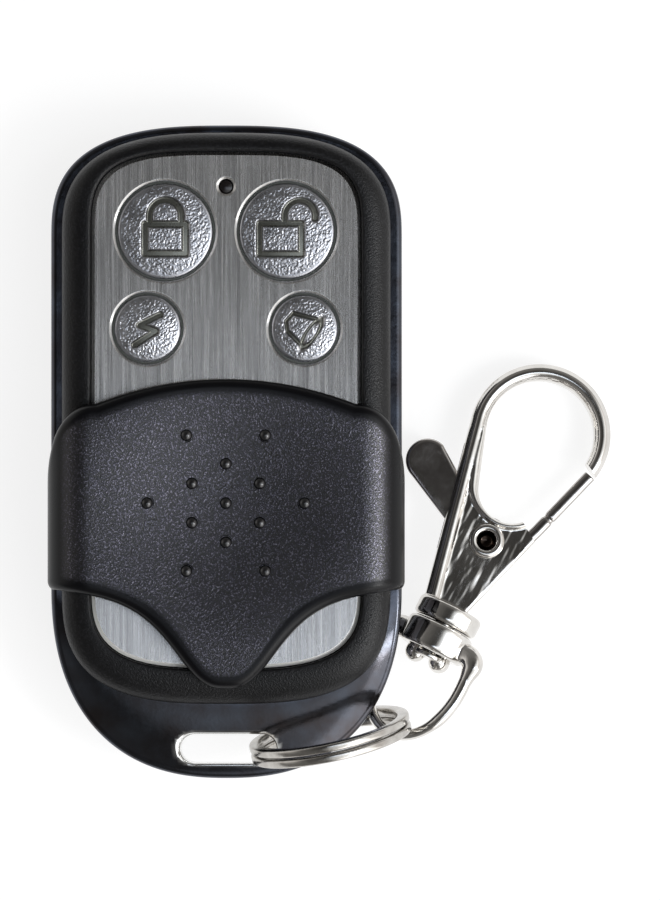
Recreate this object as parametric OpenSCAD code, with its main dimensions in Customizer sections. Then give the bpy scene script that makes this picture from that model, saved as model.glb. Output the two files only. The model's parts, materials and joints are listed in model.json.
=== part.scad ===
// Alarm key fob: a four-button radio remote with a sliding cover, on a split ring and a swivel snap hook.
// Millimetres. The fob lies on its back: +Z out of its face, +Y to its top, origin in its rear face.

/* [Case] */
// Width of the chrome frame
case_w = 32.2; // [31.4:0.1:35]
// Length of the chrome frame
case_l = 60; // [59.4:0.1:64]
// Length of the rounded top end
top_round = 10.4; // [9:0.1:12]
// Length of the rounded lower end
low_round = 18; // [16:0.1:19]
// Height of the frame's lower edge over the rear face
frame_z = 4.2; // [4:0.05:4.5]
// Height of the frame
frame_h = 4; // [3.8:0.05:4.4]
// Width of the frame's side wall
frame_wall = 1.5; // [1.3:0.05:1.7]
// Width of the frame's top wall
top_wall = 1.2; // [1:0.05:1.4]
// Length of the chin below the shells
chin_l = 7.4; // [7:0.1:8]
// How far the chin slopes down at its rim
chin_drop = 1.5; // [1:0.1:1.8]
// Rounding of the frame's upper edge
frame_edge = 0.5; // [0.3:0.05:0.7]
// Width of the frame's lower bevel
frame_bevel = 1.2; // [0.9:0.05:1.3]
// Overlap of the front shell on the frame
shell_lip = 0.45; // [0.3:0.05:0.6]
// Wall of the shells' inner lips
lip_wall = 1; // [0.8:0.05:1.1]
// Thickness of the rear shell's floor
rear_floor = 1; // [0.8:0.05:1.2]
// Step from the frame's opening in to the rear shell
rear_step = 0.7; // [0.5:0.05:0.9]
// Rounding of the rear shell's lower edge, sideways
rear_round = 1.4; // [1.2:0.05:1.45]
// Thickness of the front shell's floor under the plate
front_floor = 0.8; // [0.7:0.05:1]
// Width of the bezel's shoulder
bezel_w = 2.75; // [2.6:0.05:3]
// Height of the bezel's crest over the face plate
bezel_rise = 0.6; // [0.4:0.05:0.8]
// Play between fixed shells
shell_fit = 0.1; // [0.05:0.01:0.15]

/* [Key slot] */
// Width of the key-ring slot
slot_w = 9.2; // [9.1:0.1:9.6]
// Height of the key-ring slot
slot_h = 3; // [2.95:0.05:3.1]
// Metal left between the slot and the rim
slot_bar = 1.25; // [1.2:0.05:1.4]
// Radius of the slot's corners
slot_corner = 0.9; // [0.7:0.05:1]
// Bevel round the slot's mouths
slot_bevel = 0.25; // [0.15:0.05:0.3]

/* [Face plate and buttons] */
// Thickness of the face plate
plate_t = 0.5; // [0.4:0.05:0.6]
// Margin between the plate and the front shell's lower edge
plate_low = 3.3; // [3:0.1:3.6]
// Margin between the plate and the top of the case
plate_top_margin = 2.55; // [2.4:0.05:3]
// Diameter of the two large buttons
large_d = 8.9; // [8.5:0.05:9]
// Diameter of the two small buttons
small_d = 6.3; // [6:0.05:6.4]
// Gap between the two large buttons
large_gap = 2.22; // [1.8:0.02:2.6]
// Distance from the top of the case to the middles of the large buttons
large_drop = 9.8; // [9.5:0.1:10.2]
// Plate left beside a small button
small_margin = 1.98; // [1.7:0.02:2.2]
// Distance from the top of the case to the middles of the small buttons
small_drop = 18.7; // [18.4:0.1:19]
// Height of a button's edge over the plate
button_edge = 0.05; // [0.02:0.01:0.15]
// Height of a button's dome
button_dome = 0.45; // [0.3:0.05:0.55]
// Travel of a button
button_travel = 0.5; // [0.3:0.05:0.6]
// Play round a button
button_fit = 0.15; // [0.1:0.01:0.2]
// Width of the flange that keeps a button in
button_flange = 0.45; // [0.35:0.05:0.5]
// Thickness of that flange
flange_t = 0.75; // [0.6:0.05:0.8]
// Diameter of the light guide
guide_d = 1.4; // [1.2:0.05:1.6]
// Distance from the top of the case to the light guide
guide_drop = 5.7; // [5.5:0.05:5.8]

/* [Slide cover] */
// Distance from the small buttons' middles down to the cover's upper edge, cover open
cover_drop = 4.64; // [4.5:0.02:4.9]
// Radius of the cover's upper edge
cover_arc = 31.5; // [28:0.5:36]
// Radius of the cover's upper corners
cover_corner = 4.6; // [4:0.1:5]
// Distance from the lower end of the case to the cover's lower side corners
cover_low = 17.9; // [17.7:0.05:18.2]
// Length of the cover's nose below those corners
nose_l = 9.45; // [8.8:0.05:9.8]
// Half width of the nose at half its length
nose_half = 5.7; // [5:0.1:6.4]
// How sharply the nose leaves the sides
nose_power = 2.8; // [2.4:0.1:3.2]
// Thickness of the cover's top
cover_t = 1.5; // [1.4:0.05:1.8]
// Thickness of the cover's sides
cover_wall = 1.1; // [0.9:0.05:1.3]
// Play between the cover and the front shell, sideways
cover_play = 0.2; // [0.15:0.01:0.3]
// Gap between the cover and the bezel's crest
cover_gap = 0.25; // [0.2:0.01:0.35]
// Gap between the cover's skirts and the frame
skirt_gap = 0.2; // [0.15:0.01:0.3]
// Rounding of the cover's sides, sideways
cover_round = 4; // [3.6:0.1:4.2]
// Rounding of the cover's ends
cover_edge = 0.8; // [0.5:0.05:0.9]
// Depth of the thumb dish
dish_depth = 0.55; // [0.3:0.05:0.65]
// Radius of the thumb dish's bowl
dish_r = 110; // [100:5:160]
// Diameter of a grip nub
nub_d = 1.05; // [0.9:0.05:1.2]
// Height of a grip nub
nub_h = 0.3; // [0.2:0.02:0.4]
// Distance from the cover's upper edge to the middle of the nub pattern
nub_drop = 11.3; // [11:0.02:11.6]
// Plate left showing above the shut cover
cover_show = 0.79; // [0.7:0.01:2.8]
// Depth of the cover's guide lips
guide_lip = 0.55; // [0.4:0.05:0.6]
// Height of the guide lips
guide_lip_h = 0.6; // [0.5:0.05:0.7]
// Straight side left above the guide lips, cover shut
guide_lip_rest = 0.5; // [0.4:0.05:1.5]

/* [Inside] */
// Diameter of the cell
cell_d = 8; // [7.9:0.02:8]
// Length of the cell with its button
cell_l = 28.2; // [28:0.1:28.4]
// Room for the cell's spring
spring_room = 1.8; // [1.6:0.05:1.9]
// Gap over the cell
cell_gap = 0.1; // [0.05:0.01:0.2]
// Height of the board's underside
board_z = 3; // [2.8:0.05:3.1]
// Thickness of the board
board_t = 1; // [0.8:0.05:1]
// Play round the board
board_play = 0.3; // [0.2:0.05:0.4]
// Side of a push switch
switch_w = 4.5; // [4.3:0.05:4.6]
// Height of a push switch's body
switch_h = 3.5; // [3.3:0.05:3.6]
// Diameter of a switch's plunger
plunger_d = 2.6; // [2.4:0.1:2.8]
// Radius of a screw's shank
screw_r = 0.75; // [0.6:0.05:0.8]
// Radius of a screw's head
screw_head_r = 1.3; // [1.2:0.05:1.35]
// Height of a screw's head
screw_head_h = 1.2; // [1:0.05:1.3]
// Wall of a screw boss
boss_wall = 0.85; // [0.7:0.05:0.85]
// Distance from the lower screws to the rear shell's inner lower end
screw_low = 5.5; // [5:0.1:6]
// Room between the lower screws' bosses and the rear shell's side
screw_low_in = 1.1; // [1:0.05:1.3]
// Diameter of the cell spring's wire
cell_wire = 0.4; // [0.3:0.05:0.45]
// Turns of the cell spring
cell_turns = 2; // [1.5:0.5:2]

/* [Split ring] */
// Outer diameter of the split ring
ring_od = 15; // [14.6:0.1:15.4]
// Radial thickness of its wire
ring_wire = 1.1; // [1:0.05:1.15]
// Axial thickness of one turn
ring_turn = 0.65; // [0.6:0.01:0.68]
// Gap between the two turns
ring_gap = 0.44; // [0.42:0.01:0.46]
// Lean of the ring's plane from the table
ring_lean = 81; // [80.5:0.5:83]
// Turn of the ring's plane from the case's width
ring_yaw = 12; // [10:0.5:14]
// Where the ring passes through the slot, across the case
ring_pass_x = 2.9; // [2.6:0.05:3.1]
// Angle of the eye's place on the ring, below its middle
hang_angle = 23; // [20:1:26]

/* [Snap hook] */
// Heading of the hook from the case's length
hook_yaw = 27; // [25:0.5:30]
// Roll of the eye about the hook's length
eye_roll = 25; // [24:0.5:28]
// Distance from the middle of the barrel to the eye's far wire
eye_l = 9.6; // [9.5:0.1:10]
// Half width of the eye's wire loop
eye_r = 4.5; // [4.3:0.05:4.7]
// Diameter of the eye's wire
eye_wire = 1.2; // [1:0.05:1.25]
// Play between the eye's wire and the ring
eye_play = 0.15; // [0.1:0.01:0.25]
// Radius of the eye's barrel
barrel_r = 3.2; // [2.8:0.05:3.3]
// Height of the eye's barrel
barrel_h = 2.7; // [2.5:0.05:2.8]
// Radius of the swivel pin
pin_r = 1; // [0.9:0.02:1.1]
// Running clearance of the swivel pin
pin_fit = 0.06; // [0.03:0.01:0.09]
// Gap between the barrel and what turns on it
swivel_gap = 0.1; // [0.08:0.01:0.15]
// Radius of the swivel pin's head
pin_head_r = 2; // [1.8:0.05:2.1]
// Radius of the hook's collar
collar_r = 3.1; // [2.9:0.05:3.2]
// Height of the hook's collar
collar_h = 1.9; // [1.7:0.05:2]
// Thickness of the hook
hook_t = 2.8; // [2.6:0.05:3]
// Thickness of the hook's web, between its rail and its rim
web_t = 2; // [1.8:0.05:2.2]
// Width of the rim round the hole's lower end
rim_w = 0.45; // [0.3:0.05:0.5]
// Place of the loop's middle along the hook
loop_y = 21.3; // [21:0.1:22]
// Outer radius of the loop
loop_r = 6.55; // [6.4:0.05:6.8]
// Width of the loop's band
loop_band = 1.55; // [1.4:0.05:1.7]
// Width of the neck
neck_w = 4.4; // [4:0.1:4.6]
// Sideways shift of the neck
neck_shift = 0.7; // [0.5:0.05:0.8]
// Place of the hole's lower end along the hook
hole_low = 12.4; // [12.3:0.05:12.8]
// Radius of the hole's lower end
hole_low_r = 3.1; // [2.9:0.05:3.3]
// Place of the rivet along the hook
rivet_y = 10.2; // [10:0.05:10.3]
// Radius of the rivet's barrel
rivet_r = 1.15; // [1.05:0.01:1.2]
// Radius of the rivet's bore
rivet_bore = 0.82; // [0.7:0.02:0.85]
// Radius of the rivet's flanges
rivet_flange = 1.65; // [1.5:0.05:1.7]
// Thickness of the rivet's flanges
rivet_flange_t = 0.5; // [0.35:0.05:0.6]
// Depth of the rivet's hollow
rivet_hollow = 2; // [1.5:0.1:2.4]
// Running clearance of the lever on the rivet
rivet_fit = 0.05; // [0.03:0.01:0.09]
// Thickness of the gate lever
lever_t = 1; // [0.9:0.02:1.04]
// Width of the slot that the lever turns in
lever_slot = 1.12; // [1.1:0.01:1.2]
// Radius of the lever's hub
hub_r = 2.3; // [2.2:0.05:2.35]
// Width of the gate
gate_w = 1.15; // [1:0.05:1.25]
// Gap between the gate and the hook's nose
gate_gap = 0.15; // [0.1:0.01:0.2]
// Place of the hook's nose along the hook
nose_end = 20; // [19.8:0.05:20.3]
// Width of the thumb tab
tab_w = 4.1; // [3.8:0.05:4.2]
// Reach of the thumb tab sideways from the hook's middle
tab_reach = 8.2; // [8:0.05:8.4]
// Place of the thumb tab's end along the hook
tab_y = 14.45; // [14.2:0.05:14.6]

/* [Hidden] */
$fn = 48;
eps = 0.02;                    // overlap of joined solids and reach of cuts past a face
end_steps = 28;                // points round each end of an outline
chrome = [0.72, 0.74, 0.78];
black = [0.09, 0.09, 0.10];
steel = [0.62, 0.63, 0.65];
copper = [0.78, 0.48, 0.28];

// Heights, from the rear face up
cell_z = rear_floor + cell_d / 2;
floor_z = rear_floor + cell_d + cell_gap;
seat_z = floor_z + front_floor;
plate_z = seat_z + plate_t;
crest_z = plate_z + bezel_rise;
ledge_z = frame_z + frame_h;
cover_in_z = crest_z + cover_gap;
cover_top_z = cover_in_z + cover_t;
board_top = board_z + board_t;
switch_top = board_top + switch_h;
flange_play = 0.05;            // a button's flange hangs this far under the floor
flange_z = floor_z - flange_t - flange_play;

// Outlines: [half width, top, bottom, power of the top curve, power of the lower curve]
top_start = case_l / 2 - top_round;
low_start = -case_l / 2 + low_round;
function grown(o, d) = [o[0] + d, o[1] + d, o[2] - d, o[3], o[4]];
case_o = [case_w / 2, case_l / 2, -case_l / 2, 2.8, 2.4];
opening_o = [case_w / 2 - frame_wall, case_l / 2 - top_wall, -case_l / 2 + chin_l, 2.8, 3];
shell_o = grown(opening_o, shell_lip);
inner_o = grown(opening_o, -shell_fit - lip_wall);
plate_o = [shell_o[0] - bezel_w, case_l / 2 - plate_top_margin, shell_o[2] + plate_low, 3.5, 3.2];
rear_o = grown(opening_o, -rear_step);
rear_wall = 1.4;               // side wall of the rear shell
rear_inner_o = grown(rear_o, -rear_wall);
board_o = grown(rear_inner_o, -board_play);

function power(v, e) = sign(v) * pow(abs(v), e);
function end_point(o, t) = let(up = t <= 180, e = 2 / (up ? o[3] : o[4]))
    [o[0] * power(cos(t), e),
     up ? top_start + (o[1] - top_start) * power(sin(t), e)
        : low_start + (low_start - o[2]) * power(sin(t), e)];
// A superellipse at each end, with straight sides between
function outline(o) = [for (half = [0, 180]) for (i = [0:end_steps])
    let(t = half + i * 180 / end_steps) end_point(o, half > 0 && i == 0 ? 180.001 : t)];
function at_z(points, z) = [for (p = points) [p[0], p[1], z]];
function mixed(a, b, f) = [for (i = [0:len(a) - 1]) a[i] + (b[i] - a[i]) * f];
function flat(lists) = [for (l = lists) for (p = l) p];

// Skin over rings of points, each ring anticlockwise seen from above and going up the outside
function skin_faces(rings, n, closed) = [for (r = [0:rings - (closed ? 1 : 2)]) for (k = [0:n - 1])
    let(a = r * n + k, b = r * n + (k + 1) % n, up = (r + 1) % rings * n, c = up + k,
        d = up + (k + 1) % n) each [[a, c, d], [a, d, b]]];
module skin(rings, closed = false) {
    n = len(rings[0]);
    low_cap = [for (k = [0:n - 1]) k];
    high_cap = [for (k = [n - 1:-1:0]) (len(rings) - 1) * n + k];
    caps = closed ? [] : [low_cap, high_cap];
    polyhedron(flat(rings), concat(skin_faces(len(rings), n, closed), caps));
}
module prism(o, z0, z1) {
    translate([0, 0, z0]) linear_extrude(z1 - z0) polygon(outline(o));
}
module pipe(r, z0, z1) {
    translate([0, 0, z0]) cylinder(r = r, h = z1 - z0);
}
module block(low, high) {
    translate(low) cube(high - low);
}
module both_sides() {
    children();
    mirror([1, 0, 0]) children();
}

// Screws stand between the two rows of buttons, and beside the cell's lower end
large_x = (large_d + large_gap) / 2;
large_y = case_l / 2 - large_drop;
small_x = plate_o[0] - small_margin - small_d / 2;
small_y = case_l / 2 - small_drop;
guide_y = case_l / 2 - guide_drop;
boss_r = screw_r + boss_wall;
screw_places = [for (s = [-1, 1])
    for (p = [[rear_inner_o[0] - boss_r, (large_y + small_y) / 2],
        [rear_inner_o[0] - boss_r - screw_low_in, rear_inner_o[2] + screw_low]]) [s * p[0], p[1]]];
head_z = 0.4;                  // the heads lie this deep in the rear face
screw_cover = 1.2;             // floor left over the screws' tips
screw_tip = floor_z - screw_cover;
tip_room = 0.2;                // hole left beyond a screw's tip
driver_w = 1.8;                // cross recess in a screw's head
driver_t = 0.32;
button_places = [[-large_x, large_y], [large_x, large_y], [-small_x, small_y], [small_x, small_y]];
button_sizes = [large_d, large_d, small_d, small_d];

// Chrome frame
slot_y = -case_l / 2 + slot_bar + slot_h / 2;
chin_power = 1.6;              // how the chin's slope steepens towards the rim
function chin_fall(p) = let(f = max(0, (low_start - p[1]) / (low_start + case_l / 2)))
    chin_drop * f * f * (3 - 2 * f);
function frame_top(f) = let(edge = outline(grown(case_o, -frame_edge)), hole = outline(opening_o))
    [for (i = [0:len(edge) - 1]) let(p = hole[i] + (edge[i] - hole[i]) * f)
        [p[0], p[1], ledge_z - chin_fall(edge[i]) * pow(f, chin_power)]];
function frame_wall_ring(inset, drop) = let(edge = outline(grown(case_o, -inset)))
    [for (p = edge) [p[0], p[1], ledge_z - chin_fall(p) - drop]];
module slot_cut(grow, z0, z1) {
    half = [slot_w / 2 + grow, slot_h / 2 + grow];
    core = half - [slot_corner, slot_corner];
    translate([0, slot_y, 0]) {
        for (s = [-1, 1]) for (q = [-1, 1]) translate([s * core[0], q * core[1], 0])
            pipe(slot_corner, z0, z1);
        block([-core[0], -half[1], z0], [core[0], half[1], z1]);
        block([-half[0], -core[1], z0], [half[0], core[1], z1]);
    }
}
module chrome_frame() {
    low = outline(grown(case_o, -frame_bevel));
    side = outline(case_o);
    bevel_z = frame_z + frame_bevel * 1.3;
    rings = [at_z(low, frame_z), at_z(mixed(low, side, 0.72), frame_z + frame_bevel * 0.5),
        at_z(side, bevel_z), frame_wall_ring(0, frame_edge),
        frame_wall_ring(frame_edge * 0.3, frame_edge * 0.3), frame_top(1), frame_top(0.75),
        frame_top(0.5), frame_top(0.25), frame_top(0), at_z(outline(opening_o), frame_z)];
    chin_z = ledge_z - chin_drop * 0.5;
    color(chrome) difference() {
        skin(rings, closed = true);
        slot_cut(0, frame_z - 1, ledge_z + 1);
        slot_cut(slot_bevel, frame_z - 1, frame_z + slot_bevel);
        slot_cut(slot_bevel, chin_z - slot_bevel, ledge_z + 1);
    }
}

// Front shell: bezel, floor under the plate, lip inside the frame, screw bosses, cover grooves
bezel_side = 1.1;              // upright part of the bezel's side
crest_in = 0.15;               // the crest leans this far over the plate's edge before it is cut back
bezel_side_z = ledge_z + bezel_side;
lip_play = 0.1;                // over and under a guide lip in its groove
lip_end_play = 0.2;            // past the ends of a guide lip
lip_side_play = 0.15;
groove_z = ledge_z + skirt_gap + lip_play;
cover_side_low = -case_l / 2 + cover_low;
cover_top = small_y - cover_drop;
cover_travel = plate_o[1] - cover_show - cover_top;
guide_lip_l = top_start - cover_side_low - cover_travel - guide_lip_rest;
groove_low = cover_side_low - lip_end_play;
shell_half = 0.05;             // gap between the two shells' lips, halved
module front_shell() {
    side = outline(shell_o);
    crest = outline(grown(plate_o, -crest_in));
    shoulder = [for (t = [0:15:90]) at_z(mixed(side, crest, 1 - cos(t)),
        bezel_side_z + (crest_z - bezel_side_z) * sin(t))];
    color(black) difference() {
        union() {
            difference() {
                union() {
                    skin(concat([at_z(side, ledge_z)], shoulder));
                    prism(grown(opening_o, -shell_fit), ledge_z - frame_h / 2 + shell_half, ledge_z + eps);
                }
                prism(grown(plate_o, shell_fit), seat_z, crest_z + 1);
                prism(inner_o, frame_z, floor_z);
            }
            for (p = screw_places) translate(p) pipe(boss_r, board_top, floor_z + eps);
        }
        for (p = screw_places) translate(p) pipe(screw_r, board_top - 1, screw_tip + tip_room);
        for (i = [0:3]) translate(button_places[i])
            pipe(button_sizes[i] / 2 + button_fit, floor_z - 1, seat_z + 1);
        translate([0, guide_y, 0]) pipe(guide_d / 2, floor_z - 1, seat_z + 1);
        both_sides() block([shell_o[0] - guide_lip - lip_side_play, groove_low, groove_z],
            [shell_o[0] + 1, groove_low + guide_lip_l + cover_travel + 2 * lip_end_play,
             groove_z + guide_lip_h + 2 * lip_play]);
    }
}

// Rear shell: rounded tray with a lip inside the frame and bosses for the screws
module rear_shell() {
    curve = [for (t = [0:15:90]) [rear_round * (1 - sin(t)), frame_z * (1 - cos(t))]];
    rings = [for (c = curve) at_z(outline(grown(rear_o, -c[0])), c[1])];
    color(black) difference() {
        union() {
            difference() {
                union() {
                    skin(rings);
                    prism(grown(opening_o, -shell_fit), frame_z - eps, frame_z + frame_h / 2 - shell_half);
                }
                prism(rear_inner_o, rear_floor, ledge_z);
            }
            for (p = screw_places) translate(p) pipe(boss_r, rear_floor - eps, board_z);
        }
        for (p = screw_places) translate(p) {
            pipe(screw_r + shell_fit, -1, board_z + 1);
            pipe(screw_head_r + shell_fit, -1, head_z + screw_head_h);
        }
    }
}

module case_screws() {
    color(steel) for (p = screw_places) translate(p) difference() {
        union() {
            pipe(screw_head_r, head_z, head_z + screw_head_h);
            pipe(screw_r, head_z + screw_head_h - eps, screw_tip);
        }
        for (turn = [0, 90]) rotate(turn)
            block([-driver_w / 2, -driver_t / 2, head_z - 1],
                [driver_w / 2, driver_t / 2, head_z + screw_head_h / 2]);
    }
}

module face_plate() {
    color([0.66, 0.68, 0.71]) difference() {
        prism(plate_o, seat_z, plate_z);
        for (i = [0:3]) translate(button_places[i]) {
            r = button_sizes[i] / 2 + button_fit;
            pipe(r, seat_z - 1, plate_z + 1);
            translate([0, 0, plate_z - slot_bevel]) cylinder(r1 = r, r2 = r + 2 * slot_bevel,
                h = 2 * slot_bevel);
        }
        translate([0, guide_y, 0]) pipe(guide_d / 2, seat_z - 1, plate_z + 1);
    }
}

guide_fit = 0.05;
guide_sunk = 0.35;             // depth of the guide's tip under the plate's face
guide_foot = 0.5;
guide_foot_t = 0.7;
module light_guide() {
    color([0.12, 0.05, 0.05]) translate([0, guide_y, 0]) {
        pipe(guide_d / 2 - guide_fit, floor_z - eps, plate_z - guide_sunk);
        pipe(guide_d / 2 + guide_foot, floor_z - guide_foot_t, floor_z);
    }
}

// A button: flange under the shell's floor, round stem, domed top
module button(i) {
    r = button_sizes[i] / 2;
    edge_z = plate_z + button_edge;
    dome_r = (r * r + button_dome * button_dome) / (2 * button_dome);
    color([0.70, 0.71, 0.73]) translate(button_places[i]) {
        intersection() {
            pipe(r, flange_z + flange_t - eps, edge_z + button_dome + 1);
            translate([0, 0, edge_z + button_dome - dome_r]) sphere(r = dome_r, $fn = 180);
        }
        pipe(r + button_fit + button_flange, flange_z, flange_z + flange_t);
    }
}
module lock_button() { button(0); }
module unlock_button() { button(1); }
module flash_button() { button(2); }
module siren_button() { button(3); }

// A switch's plunger: from inside the switch up to the button's flange
plunger_fit = 0.1;
plunger_in = 0.45;             // length of the plunger inside its switch
plunger_room = 0.1;            // left under a pressed plunger
plunger_low = switch_top - plunger_in;
module plunger(i) {
    color([0.15, 0.15, 0.16]) translate(button_places[i]) pipe(plunger_d / 2, plunger_low, flange_z);
}
module lock_plunger() { plunger(0); }
module unlock_plunger() { plunger(1); }
module flash_plunger() { plunger(2); }
module siren_plunger() { plunger(3); }

// Slide cover: an arch across the case, cut to its outline, with a thumb dish, nubs and guide lips
cover_half = shell_o[0] + cover_play + cover_wall;
arch_rise = 1.3;               // upright part of the cover's sides
arch_z = ledge_z + arch_rise;
skirt_z = ledge_z + skirt_gap;
function arch_corner(half, low, top, round_x) = [for (t = [0:10:90])
    [half - round_x * (1 - cos(t)), low + (top - low) * sin(t)]];
function mirrored(points) = concat(points, [for (i = [len(points) - 1:-1:0])
    [-points[i][0], points[i][1]]]);
function nose_at(x) = cover_side_low - nose_l / (1 + pow(abs(x) / nose_half, nose_power));
// Upper edge: a shallow arc whose ends roll into the sides
function top_at(x) = cover_top - cover_arc + sqrt(cover_arc * cover_arc - x * x);
corner_lean = 0.6;
function cover_outline(inset) = let(half = cover_half - inset, start = half - cover_corner,
        drop = top_at(start + corner_lean) - cover_corner - inset)
    concat([for (i = [0:20]) let(x = -start + 2 * start * i / 20) [x, top_at(x) - inset]],
        [for (t = [80:-10:0]) [start + cover_corner * cos(t),
            drop + (top_at(start) - inset - drop) * sin(t)]],
        [for (i = [0:32]) let(x = half * cos(i * 180 / 32)) [x, nose_at(x) + inset]],
        [for (t = [0:10:80]) [-start - cover_corner * cos(t),
            drop + (top_at(start) - inset - drop) * sin(t)]]);
nub_y = cover_top - nub_drop;
nub_root = 0.3;                // a nub's length inside the cover
nub_ball = nub_d * 0.6;
nub_wide = 7.2;                // outer nubs, sideways
nub_long = 3.6;                // inner nubs, along the case
nub_near = [3.1, 1.8];
nub_far = [3.6, 6.2];
nub_places = concat([[0, 0]], [for (s = [-1, 1]) each [[s * nub_wide, 0], [0, s * nub_long]]],
    [for (s = [-1, 1]) for (q = [-1, 1]) for (p = [nub_near, nub_far]) [s * p[0], q * p[1]]]);
function dish_z(p) = let(d = norm([p[0], p[1] - nub_y])) cover_top_z - dish_depth + dish_r
    - sqrt(dish_r * dish_r - d * d);
module slide_cover() {
    arch_out = mirrored(concat([[cover_half, skirt_z]],
        arch_corner(cover_half, arch_z, cover_top_z, cover_round)));
    arch_in = mirrored(concat([[cover_half - cover_wall, skirt_z - 1]],
        arch_corner(cover_half - cover_wall, arch_z, cover_in_z, bezel_w)));
    ends = [for (c = [[0, skirt_z - 1], [0, cover_top_z - cover_edge],
        [cover_edge * 0.3, cover_top_z - cover_edge * 0.3], [cover_edge, cover_top_z + eps]])
        at_z([for (k = [len(cover_outline(0)) - 1:-1:0]) cover_outline(c[0])[k]], c[1])];
    color([0.14, 0.14, 0.15]) {
        difference() {
            intersection() {
                translate([0, case_l, 0]) rotate([90, 0, 0]) linear_extrude(2 * case_l)
                    polygon(arch_out);
                skin(ends);
            }
            translate([0, case_l, 0]) rotate([90, 0, 0]) linear_extrude(2 * case_l)
                polygon(arch_in);
            translate([0, nub_y, cover_top_z - dish_depth + dish_r]) sphere(r = dish_r, $fn = 360);
        }
        for (p = nub_places) translate([p[0], nub_y + p[1], dish_z([p[0], nub_y + p[1]]) + nub_h])
            intersection() {
                pipe(nub_d / 2, -nub_h - nub_root, 1);
                translate([0, 0, -nub_ball]) sphere(r = nub_ball);
            }
        both_sides() block([shell_o[0] - guide_lip, cover_side_low, groove_z + lip_play],
            [shell_o[0] + cover_play + eps, cover_side_low + guide_lip_l,
             groove_z + lip_play + guide_lip_h]);
    }
}

// Board: fills the case, open round the cell, which starts at the spring's plate in the lower end
cell_room = 0.3;
contact_t = 0.4;
spring_plate_room = 0.45;      // the lower end narrows, so its wide plate stands off it
plate_low_y = rear_inner_o[2] + spring_plate_room + contact_t;
cell_low = plate_low_y + spring_room;
cell_top = cell_low + cell_l;
cell_end_room = 0.8;           // board left open past the cell's button
board_open_top = cell_top + cell_end_room;
arm_x = (cell_d / 2 + cell_room + board_o[0]) / 2;      // middle of the board beside the cell
tail = 1.2;                    // length of the contacts' tails on the board
leg_t = 0.3;                   // legs and end caps of the parts on the board
leg_w = 0.4;
led_size = [1.2, 1.6, 1.1];
encoder_size = [3.8, 4.9, 1.5];
encoder_step = 1.27;
encoder_y = (board_open_top + tail + guide_y - led_size[1] / 2) / 2;
resonator_size = [4.8, 4.8, 1.4];
resonator_step = 2.5;
resonator_y = 3;
transistor_size = [1.4, 2.9, 1.1];
transistor_step = 1.9;
transistor_y = -4;
passive_size = [2, 1.2, 0.6];
passive_left = [4, 1, -2, -6];
passive_right = [-8, -10.5];
// Reach of the legs past the led, encoder, resonator, transistor and passives
leg_out = [0.3, 0.5, 0.2, 0.5, 0.1];
module circuit_board() {
    color([0.05, 0.30, 0.16]) difference() {
        prism(board_o, board_z, board_top);
        block([-cell_d / 2 - cell_room, -case_l, board_z - 1],
            [cell_d / 2 + cell_room, board_open_top, board_top + 1]);
        for (p = screw_places) translate(p) pipe(screw_r + shell_fit, board_z - 1, board_top + 1);
    }
}
module switch_bodies() {
    color([0.20, 0.20, 0.21]) for (p = button_places) translate(p) difference() {
        block([-switch_w / 2, -switch_w / 2, board_top], [switch_w / 2, switch_w / 2, switch_top]);
        pipe(plunger_d / 2 + plunger_fit, plunger_low - button_travel - plunger_room, switch_top + 1);
    }
}
module chip(x, y, size, legs, step, out) {
    reach = size[0] / 2 + out;
    translate([x, y, board_top]) {
        block([-size[0] / 2, -size[1] / 2, 0], [size[0] / 2, size[1] / 2, size[2]]);
        for (s = [-1, 1]) for (i = [0:legs - 1]) translate([0, (i - (legs - 1) / 2) * step, 0])
            block([s > 0 ? 0 : -reach, -leg_w / 2, 0], [s > 0 ? reach : 0, leg_w / 2, leg_t]);
    }
}
module indicator_led() {
    color([0.85, 0.80, 0.70]) chip(0, guide_y, led_size, 1, 0, leg_out[0]);
}
module encoder_chip() {
    color(black) chip(0, encoder_y, encoder_size, 4, encoder_step, leg_out[1]);
}
module resonator() {
    color(steel) chip(arm_x, resonator_y, resonator_size, 2, resonator_step, leg_out[2]);
}
module transmit_transistor() {
    color(black) chip(arm_x, transistor_y, transistor_size, 2, transistor_step, leg_out[3]);
}
module board_passives() {
    color([0.55, 0.45, 0.33]) {
        for (y = passive_left) chip(-arm_x, y, passive_size, 1, 0, leg_out[4]);
        for (y = passive_right) chip(arm_x, y, passive_size, 1, 0, leg_out[4]);
    }
}

// Cell, spring, and the two contacts soldered to the board
cell_button = 0.6;             // height of the cell's button
cell_button_r = 1.6;
contact_half = 3;              // half width of the contacts' upright plates
contact_in = 0.6;              // their reach below the board
contact_up = 2.4;              // and over the cell's middle
tab_half = 1.5;
module along_case(y0, y1, r) {
    translate([0, y1, cell_z]) rotate([90, 0, 0]) cylinder(r = r, h = y1 - y0);
}
module battery() {
    color([0.72, 0.56, 0.20]) {
        along_case(cell_low, cell_top - cell_button, cell_d / 2);
        along_case(cell_top - cell_button - eps, cell_top, cell_button_r);
    }
}
module battery_contact() {
    color(copper) {
        block([-contact_half, cell_top, board_z - contact_in],
            [contact_half, cell_top + contact_t, cell_z + contact_up]);
        block([-tab_half, cell_top + eps, board_top],
            [tab_half, board_open_top + tail, board_top + contact_t]);
    }
}
wing_reach = 1.3;              // wings of the spring's plate on the board
wing = cell_d / 2 + cell_room + wing_reach;
module spring_plate() {
    color(copper) {
        block([-wing, plate_low_y - contact_t, board_top], [wing, plate_low_y, cell_z + contact_half - 1]);
        block([-contact_half, plate_low_y - contact_t, board_z - contact_in],
            [contact_half, plate_low_y, board_top + eps]);
        both_sides() block([cell_d / 2 + cell_room, plate_low_y - contact_t, board_top],
            [wing, plate_low_y + tail, board_top + contact_t]);
    }
}

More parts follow.
